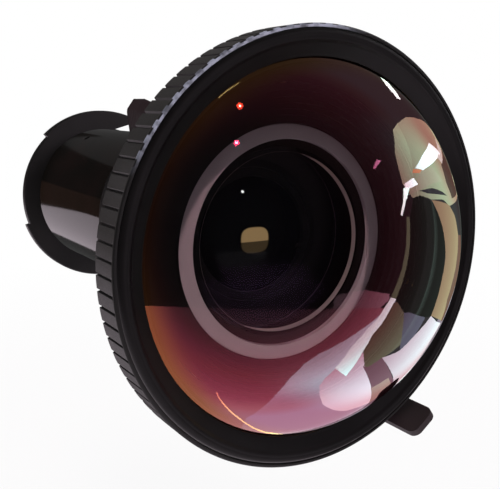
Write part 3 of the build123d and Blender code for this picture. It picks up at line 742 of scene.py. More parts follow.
def rounded(
    corners: Sequence[Pair], radius: float | Sequence[float], steps: int = 5
) -> np.ndarray:
    """Rounds each corner of a closed profile by a quadratic curve between points on its edges.

    The curve is (1-t)^2 start + 2t(1-t) corner + t^2 end, with both ends at the radius from the
    corner, or at 0.45 of a shorter edge.

    Args:
        corners: radius and height of each corner in mm.
        radius: rounding in mm, one for all or one for each corner.
        steps: points along each curve.

    Returns:
        The rounded profile's points.
    """
    here = np.array(corners, float)
    size = np.broadcast_to(np.asarray(radius, float), len(here))[:, None]
    ends = []
    for edge in (np.roll(here, 1, 0) - here, np.roll(here, -1, 0) - here):
        length = np.linalg.norm(edge, axis=1, keepdims=True)
        ends.append((here + edge / length * np.minimum(size, 0.45 * length))[:, None])
    t = np.linspace(0, 1, steps)[None, :, None]
    curve = (1 - t) ** 2 * ends[0] + 2 * t * (1 - t) * here[:, None] + t**2 * ends[1]
    return curve.reshape(-1, 2)


def bow(start: Pair, middle: Pair, end: Pair, steps: int) -> np.ndarray:
    """Draws a quadratic curve through three points of a profile.

    The curve is (1-t)^2 start + 2t(1-t) corner + t^2 end, where the corner is twice the middle
    less the mean of start and end.

    Args:
        start: radius and height of its first point.
        middle: the same halfway.
        end: the same at its end.
        steps: number of points.

    Returns:
        The curve's points without its end.
    """
    a, m, b = (np.array(p, float) for p in (start, middle, end))
    t = np.linspace(0, 1, steps, endpoint=False)[:, None]
    return (1 - t) ** 2 * a + 2 * t * (1 - t) * (2 * m - (a + b) / 2) + t**2 * b


def cap(apex: float, curve: float, reach: float, rows: int) -> np.ndarray:
    """Draws a round glass face's profile, whose height is apex - (R - sqrt(R^2 - r^2)).

    Args:
        apex: height of its middle in mm.
        curve: its radius of curvature R in mm.
        reach: radius of its rim in mm.
        rows: number of points.

    Returns:
        Radius and height of each point, from the axis outwards.
    """
    radius = reach * np.sin(np.linspace(0, np.pi / 2, rows))
    return np.stack([radius, apex - (curve - np.sqrt(curve**2 - radius**2))], axis=1)


# ---- pieces


def placed(name: str, data: Any) -> Object:
    """Adds an object with its data to the scene."""
    thing = bpy.data.objects.new(name, data)
    bpy.context.scene.collection.objects.link(thing)
    return thing


@dataclass
class Shop:
    """Keeps the frame and the built materials, and turns surfaces into pieces of the object."""

    frame: dict[str, Any]
    materials: dict[str, Material] = field(default_factory=dict)
    weld: float = 1e-6  # metres within which a copied node's vertices are merged
    flat: float = 0.5  # degrees up to which its faces are joined
    crease: float = 30.0  # degrees above which its edges are sharp
    eased_from: float = 35.0  # degrees above which its edges are rounded

    def finish(self, finish: Any) -> Material:
        """Gives a finish's material, built once."""
        if finish.name not in self.materials:
            self.materials[finish.name] = finish.material()
        return self.materials[finish.name]

    def piece(
        self, name: str, mesh: Mesh, finishes: Iterable[Any], body: str, slot: str, *nodes: str
    ) -> Object:
        """Adds a piece of the object.

        Args:
            name: the piece's name.
            mesh: its mesh, in place.
            finishes: its finishes, in the order of the mesh's material numbers.
            body: CAD body that it rides on.
            slot: the record's material slot; not used.
            nodes: CAD nodes that it stands for.

        Returns:
            The new object.
        """
        for finish in finishes:
            mesh.materials.append(self.finish(finish))
        piece = placed(name, mesh)
        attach(piece, body)
        if nodes:
            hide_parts(*nodes)
        stands_for = ", ".join(nodes) or "no node"
        LOG.info("%s: %d faces on %s for %s", name, len(mesh.polygons), body, stands_for)
        return piece

    def dress(self, finish: Any, *nodes: str) -> None:
        """Gives CAD nodes a finish as they are.

        Args:
            finish: the finish.
            nodes: names of the CAD nodes.
        """
        for name in nodes:
            for slot in self.frame["nodes"][name].material_slots:
                slot.link = "OBJECT"
                slot.material = self.finish(finish)
            LOG.info("%s: shown as in the frame, %s", name, finish.name)

    def merged(self, node: str) -> Mesh:
        """Copies a CAD node's mesh with its doubled vertices merged and its flat faces joined.

        Args:
            node: name of the CAD node.

        Returns:
            The copy, in place.
        """
        source = self.frame["nodes"][node]
        points = np.empty(len(source.data.vertices) * 3)
        source.data.vertices.foreach_get("co", points)
        place = np.array(source.matrix_world)
        points = points.reshape(-1, 3) @ place[:3, :3].T + place[:3, 3]
        corners = np.empty(len(source.data.polygons) * 3, int)
        source.data.polygons.foreach_get("vertices", corners)
        keys = np.round(points / self.weld).astype(np.int64)
        _, first, kept = np.unique(keys, axis=0, return_index=True, return_inverse=True)
        faces = kept.reshape(-1)[corners].reshape(-1, 3)
        whole = (faces != np.roll(faces, 1, axis=1)).all(axis=1)
        mesh = Surface(points[first], np.zeros((0, 4), int), faces[whole]).mesh(node + "_copy")
        work = bmesh.new()
        work.from_mesh(mesh)
        limit = np.radians(self.flat)
        bmesh.ops.dissolve_limit(work, angle_limit=limit, verts=work.verts, edges=work.edges)
        work.to_mesh(mesh)
        work.free()
        mesh.set_sharp_from_angle(angle=np.radians(self.crease))
        return mesh

    def eased(
        self, node: str, finish: Any, body: str, slot: str, width: float, segments: int = 2
    ) -> Object:
        """Shows a merged copy of a CAD node with its edges rounded.

        Args:
            node: the CAD node.
            finish: its finish.
            body: CAD body that it rides on.
            slot: the record's material slot.
            width: rounding in mm.
            segments: faces across each rounding.

        Returns:
            The new object.
        """
        piece = self.piece(node + "_eased", self.merged(node), [finish], body, slot, node)
        bevel = piece.modifiers.new("eased_edges", "BEVEL")
        bevel.width, bevel.segments = width * MM, segments
        bevel.limit_method, bevel.angle_limit = "ANGLE", np.radians(self.eased_from)
        bevel.use_clamp_overlap = bevel.harden_normals = True
        return piece


@dataclass
class FrontBezel:
    """The smooth crowned front ring with its inner step and lip, by radius and height in mm.

    Args:
        edge: start, middle and end of the bow from the outer side to the crest.
        crown: the same from the crest to the cone that falls inwards.
        corners: the cone's foot, the lip, the skirt and the outer side's back.
        ease: roundings of these corners.
        edge_ease: rounding where the outer side meets its bow.
    """

    edge: tuple[Pair, Pair, Pair] = ((74.2, 201.4), (73.35, 202.8), (71.7, 203.0))
    crown: tuple[Pair, Pair, Pair] = ((71.7, 203.0), (70.8, 202.95), (70.2, 202.45))
    corners: tuple[Pair, ...] = (
        (69.6, 202.0), (66.3, 200.25), (65.4, 199.95), (65.4, 199.5), (68.2, 199.5),
        (68.2, 196.1), (69.0, 196.1), (69.0, 200.7), (74.2, 200.7),
    )
    ease: tuple[float, ...] = (0.3, 0.2, 0.12, 0.12, 0.1, 0.1, 0.1, 0.1, 0.2)
    edge_ease: float = 0.1

    def profile(self) -> np.ndarray:
        """Draws the section: two bows meet at the crest, and the other corners are eased."""
        front = np.concatenate([bow(*self.edge, 14), bow(*self.crown, 10)])
        ease = np.concatenate([[self.edge_ease], np.full(len(front) - 1, 1e-3), self.ease])
        return rounded(np.concatenate([front, self.corners]), ease, 4)

    def build(self, shop: Shop) -> None:
        """Makes the ring."""
        mesh = lathe(self.profile(), 360).mesh("bezel_ring")
        ring = shop.piece("bezel_ring", mesh, [BEZEL_BLACK], "barrel", "bezel_black", "front_bezel")
        ring.visible_glossy = False  # the glass mirrors the room up to its rim


@dataclass
class RibbedRing:
    """The ribbed ring round the front: smooth crests between thin blind grooves.

    Radii, heights, widths and depths are in mm.
    """

    radius: float = 75.8
    bore: float = 70.96
    hub: float = 74.2
    back: float = 187.6
    ribs_back: float = 189.0
    front: float = 202.3
    counterbore: float = 74.5
    counterbore_floor: float = 200.4
    chamfer: float = 0.5
    ease: float = 0.2
    ribs: int = 92
    groove_width: float = 0.8
    groove_depth: float = 1.0
    groove_end: float = 201.5
    edge_steps: tuple[float, ...] = (-0.12, 0.0, 0.05, 0.14)  # distances past a groove's edge
    edge_depths: tuple[float, ...] = (1.0, 0.35, 0.08, 0.0)  # shares of its depth there
    end_steps: tuple[float, ...] = (0.5, 0.2, 0.0)  # distances before a groove's end
    end_depths: tuple[float, ...] = (1.0, 0.8, 0.0)  # shares of its depth there
    crown: float = 0.06  # how far a rib's middle stands above its edges

    @property
    def pitch(self) -> float:
        """Gives the distance from rib to rib, in mm."""
        return 2 * np.pi * self.radius / self.ribs

    @property
    def edges(self) -> np.ndarray:
        """Gives the distances from a groove's middle at which its wall is drawn, in mm."""
        return self.groove_width / 2 + np.array(self.edge_steps)

    def columns(self) -> tuple[np.ndarray, np.ndarray]:
        """Gives every column's turn, and its distance in mm from its groove's middle.

        More columns stand at the grooves' edges than between them.
        """
        side = np.append(self.edges, 0.3 * self.pitch)
        offset = np.concatenate([[-self.pitch / 2], -side[::-1], [0.0], side])
        centre = np.arange(self.ribs) * self.pitch
        return (centre[:, None] + offset).ravel() / self.radius, np.tile(offset, self.ribs)

    def surface(self) -> Surface:
        """Turns the section, and sinks it by depth * wall(offset) * run(height).

        wall goes from 1 inside the groove to 0 past its edge, and run from 1 to 0 at the groove's
        blind end. A rib's surface also falls by crown * (1 - offset / (pitch / 2))^2 towards the
        groove's middle.
        """
        middle = np.linspace(self.ribs_back + 1.0, self.groove_end - 0.8, 6)
        end = self.groove_end - np.array([0.45, 0.2, 0.06, 0.0])
        outer = np.concatenate([[self.ribs_back, self.ribs_back + 0.3], middle, end])
        corner, side = self.radius - self.chamfer, self.front - self.chamfer
        recess, floor, front, ease = self.counterbore, self.counterbore_floor, self.front, self.ease
        others = [
            (self.radius, side - 0.1), (self.radius - 0.06, side + 0.02),
            (corner + 0.05, front - 0.06), (corner - 0.08, front),
            (recess + 0.1, front), (recess, front - 0.1), (recess, floor), (self.bore, floor),
            (self.bore, self.back + ease), (self.bore + ease, self.back),
            (self.hub - ease, self.back), (self.hub, self.back + ease),
            (self.hub, self.ribs_back), (self.radius - 1.1, self.ribs_back),
        ]
        sides = np.stack([np.full(len(outer), self.radius), outer], axis=1)
        rows = np.concatenate([sides, others])
        on_ribs = (np.arange(len(rows)) < len(outer))[:, None]
        ends = self.groove_end - np.array(self.end_steps)
        run = on_ribs * np.interp(rows[:, 1:], ends, self.end_depths)
        turn, offset = self.columns()
        wall = np.interp(np.abs(offset), self.edges, self.edge_depths)
        fall = self.crown * (1 - np.abs(offset) / (self.pitch / 2)) ** 2
        radius = rows[:, :1] - run * (self.groove_depth * wall) - on_ribs * fall
        points = turned_points(radius, rows[:, 1:], turn)
        return Surface(points.reshape(-1, 3), ring_faces(len(rows), len(turn), True))

    def build(self, shop: Shop) -> None:
        """Makes the ring."""
        mesh = self.surface().mesh("ribbed_ring", 40)
        ring = shop.piece(
            "ribbed_ring", mesh, [RING_PLASTIC], "corner_ring", "ring_plastic", "grip_ring"
        )
        ring.visible_glossy = False  # the glass mirrors the room up to its rim


@dataclass
class FrontGlass:
    """The domed front glass: two polished faces and a ground edge."""

    radius: float = 67.2
    lands: Pair = (194.2, 198.8)  # heights of the edge's back and front
    ease: float = 0.3
    back: Triple = (232.84, 63.6, 58.5)  # height of the middle, curvature and reach
    front: Triple = (237.44, 75.0, 65.6)  # the same of the front face
    rows: int = 96
    columns: int = 384
    crease: float = 12.0

    def build(self, shop: Shop) -> None:
        """Makes the glass from its rear pole, round the edge, to its front pole."""
        (low, high), outer, ease = self.lands, self.radius, self.ease
        edge = [(outer - ease, low), (outer, low + ease), (outer, high - ease)]
        edge.append((outer - ease, high))
        rear, face = (cap(*sizes, self.rows) for sizes in (self.back, self.front))
        surface = dome(np.concatenate([rear, edge, face[::-1]]), self.columns)
        bands = np.arange(len(surface.quads)) // self.columns
        rim, crown = self.rows - 2, self.rows + 3
        slots = np.select([bands < rim, bands < crown], [1, 2], 0)
        surface.slots = np.concatenate([slots, np.repeat([1, 0], self.columns)])
        shop.dress(SEAL_RUBBER, "front_seal")
        shop.frame["nodes"]["front_seal"].visible_glossy = False
        mesh = surface.mesh("domed_glass", self.crease)
        finishes = [FRONT_COATING, FRONT_INNER_FACE, INNER_BLACK]
        shop.piece("domed_glass", mesh, finishes, "barrel", "coated_glass", "front_glass")


@dataclass
class InnerLens:
    """What shows through the front glass: a satin ring, a black inner ring, black cells and the
    glasses behind.
    """

    annulus: tuple[Pair, ...] = ((39.0, 178.3), (44.6, 178.3), (44.6, 180.4), (39.0, 180.4))
    annulus_ease: float = 0.35
    inner: tuple[Pair, ...] = ((26.6, 149.6), (30.5, 149.6), (30.5, 152.0), (26.6, 152.0))
    inner_ease: float = 0.4
    land: Pair = (32.9, 3.2)  # outer radius and greatest width
    land_middle: float = -22.0  # turn of its widest place in degrees
    land_spread: float = 98.0  # degrees from there to its thin part
    land_least: float = 0.02  # width of its thin part
    land_depth: float = 0.08
    hollow: Pair = (134.91, 50.0)  # height of the hollow face's centre, and its radius
    glasses: tuple[str, ...] = (
        "corrector_glass", "focus_rear_glass", "relay_front_glass", "relay_back_glass",
        "rear_glass",
    )
    window_glass: str = "focus_front_glass"

    def build(self, shop: Shop) -> None:
        """Makes the satin ring, the black inner ring and the land, and dresses the cells and
        glasses.
        """
        mesh = lathe(rounded(self.annulus, self.annulus_ease), 300).mesh("satin_annulus")
        group = "corner_group"
        shop.piece("satin_annulus", mesh, [SATIN_RING], group, "satin_ring", "corrector_ring")
        mesh = lathe(rounded(self.inner, self.inner_ease), 240).mesh("inner_ring")
        shop.piece(
            "inner_ring", mesh, [INNER_BLACK], "focus_group", "satin_ring", "focus_retaining_ring"
        )
        # A painted highlight: the pale crescent of the second glass's ground land.
        shop.piece("ground_land", self.land_mesh(), [GROUND_GLASS], group, "coated_glass")
        shop.dress(
            INNER_BLACK, "corrector_cell", "front_baffle", "focus_carriage", "focus_spacer",
            "aperture_stop", "relay_spacer", "relay_retaining_ring", "rear_retaining_ring",
        )
        shop.dress(INNER_GLASS, *self.glasses)
        shop.dress(WINDOW_GLASS, self.window_glass)
        for name in (*self.glasses, self.window_glass):
            shop.frame["nodes"][name].visible_shadow = False
        shop.dress(PIN_BRASS, "corrector_pins", "focus_pins")

    def land_mesh(self) -> Mesh:
        """Makes a painted highlight: a pale crescent of the second glass's land, inside its hollow
        face.

        Its width falls from its middle as a cosine to the power of 0.8, and its height at radius r
        is c + sqrt(R^2 - r^2), where c is the height of the hollow face's centre.
        """
        outer, width = self.land
        centre, curve = self.hollow
        turn = equal_turns(240)
        away = (np.degrees(turn) - self.land_middle + 180) % 360 - 180
        narrowing = np.cos(np.radians(np.clip(away / self.land_spread, -1, 1) * 90)) ** 0.8
        inner = outer - self.land_least - width * narrowing
        rim = np.full_like(turn, outer)
        radius = np.stack([inner, rim, rim, inner])
        depth = np.array([0.0, 0.0, self.land_depth, self.land_depth])[:, None]
        points = turned_points(radius, centre + np.sqrt(curve**2 - radius**2) + depth, turn)
        faces = ring_faces(len(radius), len(turn), True)
        return Surface(points.reshape(-1, 3), faces).mesh("ground_land")


@dataclass
class Barrel:
    """The fixed barrel behind the front: housing, tube, flange and rear cell."""

    flange_ease: float = 0.15

    def build(self, shop: Shop) -> None:
        """Dresses the barrel's nodes and eases the flange's edges."""
        shop.dress(HOUSING_BLACK, "front_housing", "focus_retainer", "rear_cell")
        shop.frame["nodes"]["front_housing"].visible_glossy = False
        shop.dress(BARREL_BLACK, "barrel_tube")
        shop.dress(
            SCREW_STEEL, "barrel_key_screws", "flange_screws", "lever_screws", "lug_screws"
        )
        shop.dress(INNER_BLACK, "field_stop")
        flange = shop.eased(
            "rear_flange", HOUSING_BLACK, "barrel", "housing_black", self.flange_ease
        )
        flange.visible_glossy = False  # the tube mirrors the room right up to it


@dataclass
class FocusRing:
    """The lower ring with its long lever and its short lug."""

    lever_ease: float = 0.4
    lug_turn: float = 138.5
    section: tuple[Pair, ...] = ((-4.6, 65.6), (9.4, 65.6), (3.1, 72.9), (1.4, 74.6), (-3.1, 75.0))
    section_ease: tuple[float, ...] = (0.1, 0.1, 0.8, 0.8, 0.7)
    ends: tuple[float, ...] = (171.75, 171.95, 184.7, 185.0)  # heights of the lug's eased ends
    end_drops: tuple[float, ...] = (0.25, 0.0, 0.0, 0.3)  # how far they are lowered
    ridge_start: float = 172.1
    ridge_pitch: float = 1.25
    ridge_depth: float = 0.28
    ridge_pinch: float = 0.05  # share by which the lug narrows between ridges
    nose_start: float = 179.4
    nose: Pair = (5.7, 3.0)  # length and drop
    foot: Pair = (66.5, 68.5)  # radii between which the ridges and the nose set in

    def build(self, shop: Shop) -> None:
        """Dresses the ring, eases the lever's edges and makes the lug."""
        body, slot = "focus_ring_body", "lever_plastic"
        shop.dress(RING_PLASTIC, "focus_ring")
        shop.eased("focus_lever", LEVER_PLASTIC, body, slot, self.lever_ease, 3)
        shop.piece("ridged_lug", self.lug(), [LEVER_PLASTIC], body, slot, "finger_lug")

    def lug(self) -> Mesh:
        """Carries the lug's section along the axis, with fine ridges and a nose that drops.

        A section point (t, r) stands at r along the lug's turn and t across it. The ridges lower r
        by depth * (1 + cos(2 pi (h - start) / pitch)) / 2, and the nose by drop * (h - start) /
        length.
        """
        section = rounded(self.section, self.section_ease)
        ridges = np.linspace(self.ridge_start, self.nose_start, 76)
        nose = np.linspace(self.nose_start + 0.5, self.ends[-1], 12)
        heights = np.concatenate([self.ends[:2], ridges, nose])
        wave = (1 + np.cos(2 * np.pi * (heights - self.ridge_start) / self.ridge_pitch)) / 2
        wave = wave * (heights >= self.ridge_start) * (heights < self.nose_start)
        length, fall = self.nose
        drop = self.ridge_depth * wave + np.interp(heights, self.ends, self.end_drops)
        drop = drop + fall * np.clip((heights - self.nose_start) / length, 0, 1)
        low, high = self.foot
        follows = np.clip((section[:, 1:] - low) / (high - low), 0, 1)
        radius = section[:, 1:] - follows * drop
        across = section[:, :1] * (1 - self.ridge_pinch * wave)
        turn = np.radians(self.lug_turn)
        x = radius * np.cos(turn) - across * np.sin(turn)
        z = radius * np.sin(turn) + across * np.cos(turn)
        points = np.stack([x, np.broadcast_to(-heights, x.shape), z], axis=-1) * MM
        return prism(points).mesh("ridged_lug", 35)


# ---- studio


DIM = (0.07, 0.07, 0.07)  # most of the room in dull faces
PALE = (0.85, 0.74, 0.81)  # the table and its sheets in dull faces, a little pink


def directions(azimuth: Any, elevation: Any) -> np.ndarray:
    """Turns azimuth and elevation in degrees into unit vectors.

    Azimuth 0 is straight in front of the lens, and 90 is to its right: x = sin a cos e,
    y = -cos a cos e, z = sin e.
    """
    a, e = np.radians(azimuth), np.radians(elevation)
    return np.stack([np.sin(a) * np.cos(e), -np.cos(a) * np.cos(e), np.sin(e)], axis=-1)


def glowing(name: str, surface: Surface, light: Triple, dull: Triple) -> Object:
    """Makes a part of the studio that glows for mirrored and refracted light only.

    Args:
        name: its name.
        surface: its shape.
        light: red, green and blue that polished faces mirror.
        dull: red, green and blue that dull faces mirror.

    Returns:
        The glowing part.
    """
    mesh = surface.mesh(name)
    material, tree = new_tree(name)
    polished = add(tree, "LightPath").outputs["Is Singular Ray"]
    colours = {0: polished, 6: (*dull, 1.0), 7: (*light, 1.0)}
    colour = add(tree, "Mix", colours, data_type="RGBA").outputs[2]
    glow = add(tree, "Emission", {"Color": colour, "Strength": 1.0})
    add(tree, "OutputMaterial", {"Surface": glow})
    mesh.materials.append(material)
    part = placed(name, mesh)
    part.visible_camera = part.visible_diffuse = part.visible_shadow = False
    return part


def sheet(azimuth: np.ndarray, elevation: np.ndarray, distance: float, middle: float) -> Surface:
    """Makes a surface of points at one distance from a point on the axis.

    Args:
        azimuth: grid of azimuths in degrees.
        elevation: grid of elevations in degrees.
        distance: how far they stand, in metres.
        middle: metres from the rear seat to that point.

    Returns:
        The open surface.
    """
    points = directions(azimuth, elevation) * distance - (0.0, middle, 0.0)
    return Surface(points.reshape(-1, 3), sheet_faces(*azimuth.shape))


@dataclass(frozen=True)
class Fade:
    """Another light of a card round one direction.

    Args:
        light: its red, green and blue.
        place: azimuth and elevation in degrees.
        reach: degrees from there between which it gives way to the card's own light.
    """

    light: Triple
    place: Pair
    reach: Pair

    def mix(self, tree: NodeTree, own: Triple, middle: float) -> None:
        """Changes a card's light by the angle between the two directions.

        Args:
            tree: node tree of the card's material.
            own: the card's own light.
            middle: metres in front of the rear seat of the point that the directions start from.
        """
        chosen = next(node for node in tree.nodes if node.type == "MIX")
        place = add(tree, "TexCoord").outputs["Object"]
        toward = add(tree, "VectorMath", {0: place, 1: (0.0, middle, 0.0)}, operation="ADD")
        toward = add(tree, "VectorMath", {0: toward}, operation="NORMALIZE")
        aim = {0: toward, 1: tuple(map(float, directions(*self.place)))}
        cosine = add(tree, "VectorMath", aim, operation="DOT_PRODUCT").outputs["Value"]
        inner, outer = (float(np.cos(np.radians(angle))) for angle in self.reach)
        across = {"Value": cosine, 1: outer, 2: inner}
        share = add(tree, "MapRange", across, interpolation_type=SMOOTH)
        colours = {0: share, 6: (*own, 1.0), 7: (*self.light, 1.0)}
        colour = add(tree, "Mix", colours, data_type="RGBA").outputs[2]
        tree.links.new(colour, chosen.inputs[7])


@dataclass(frozen=True)
class Card:
    """A glowing card of the mirrored room, placed by direction.

    Args:
        name: the card's name.
        corners: azimuth and elevation of its corners in degrees; a strip has two rows of them.
        light: red, green and blue that polished faces mirror.
        distance: how far its corners stand, in metres.
        dull: red, green and blue that dull faces mirror.
        fade: another light round one direction.
        middle: metres in front of the rear seat of the point that the directions start from.
    """

    name: str
    corners: tuple[Any, ...]
    light: Triple
    distance: float
    dull: Triple = DIM
    fade: Fade | None = None
    middle: float = 0.2

    def surface(self) -> Surface:
        """Spans the card on a sphere, by rings of points from its corners' mean to its outline."""
        corners = directions(*np.array(self.corners, float).T)
        steps = np.linspace(0, 1, 4, endpoint=False)[:, None]
        sides = corners[:, None] * (1 - steps) + np.roll(corners, -1, axis=0)[:, None] * steps
        outline, middle = sides.reshape(-1, 3), corners.mean(0)
        share = np.linspace(0, 1, 9)[1:, None, None]
        points = (middle * (1 - share) + outline * share).reshape(-1, 3)
        points = np.concatenate([points, middle[None]])
        points = points / np.linalg.norm(points, axis=1, keepdims=True) * self.distance
        points = points - (0.0, self.middle, 0.0)
        index = np.arange(len(outline))
        fan = np.stack([index, np.roll(index, -1), np.full(len(index), len(points) - 1)], axis=-1)
        return Surface(points, ring_faces(len(share), len(outline), False), fan)

    def build(self) -> None:
        """Hangs the card, which polished and dull faces mirror but glass doesn't let through."""
        card = glowing(self.name, self.surface(), self.light, self.dull)
        card.visible_transmission = False
        if self.fade is not None:
            self.fade.mix(card.data.materials[0].node_tree, self.light, self.middle)


class Strip(Card):
    """A narrow glowing band between two rows of directions."""

    def surface(self) -> Surface:
        """Spans the band from row to row."""
        grids = np.moveaxis(np.array(self.corners, float), -1, 0)
        return sheet(*grids, self.distance, self.middle)


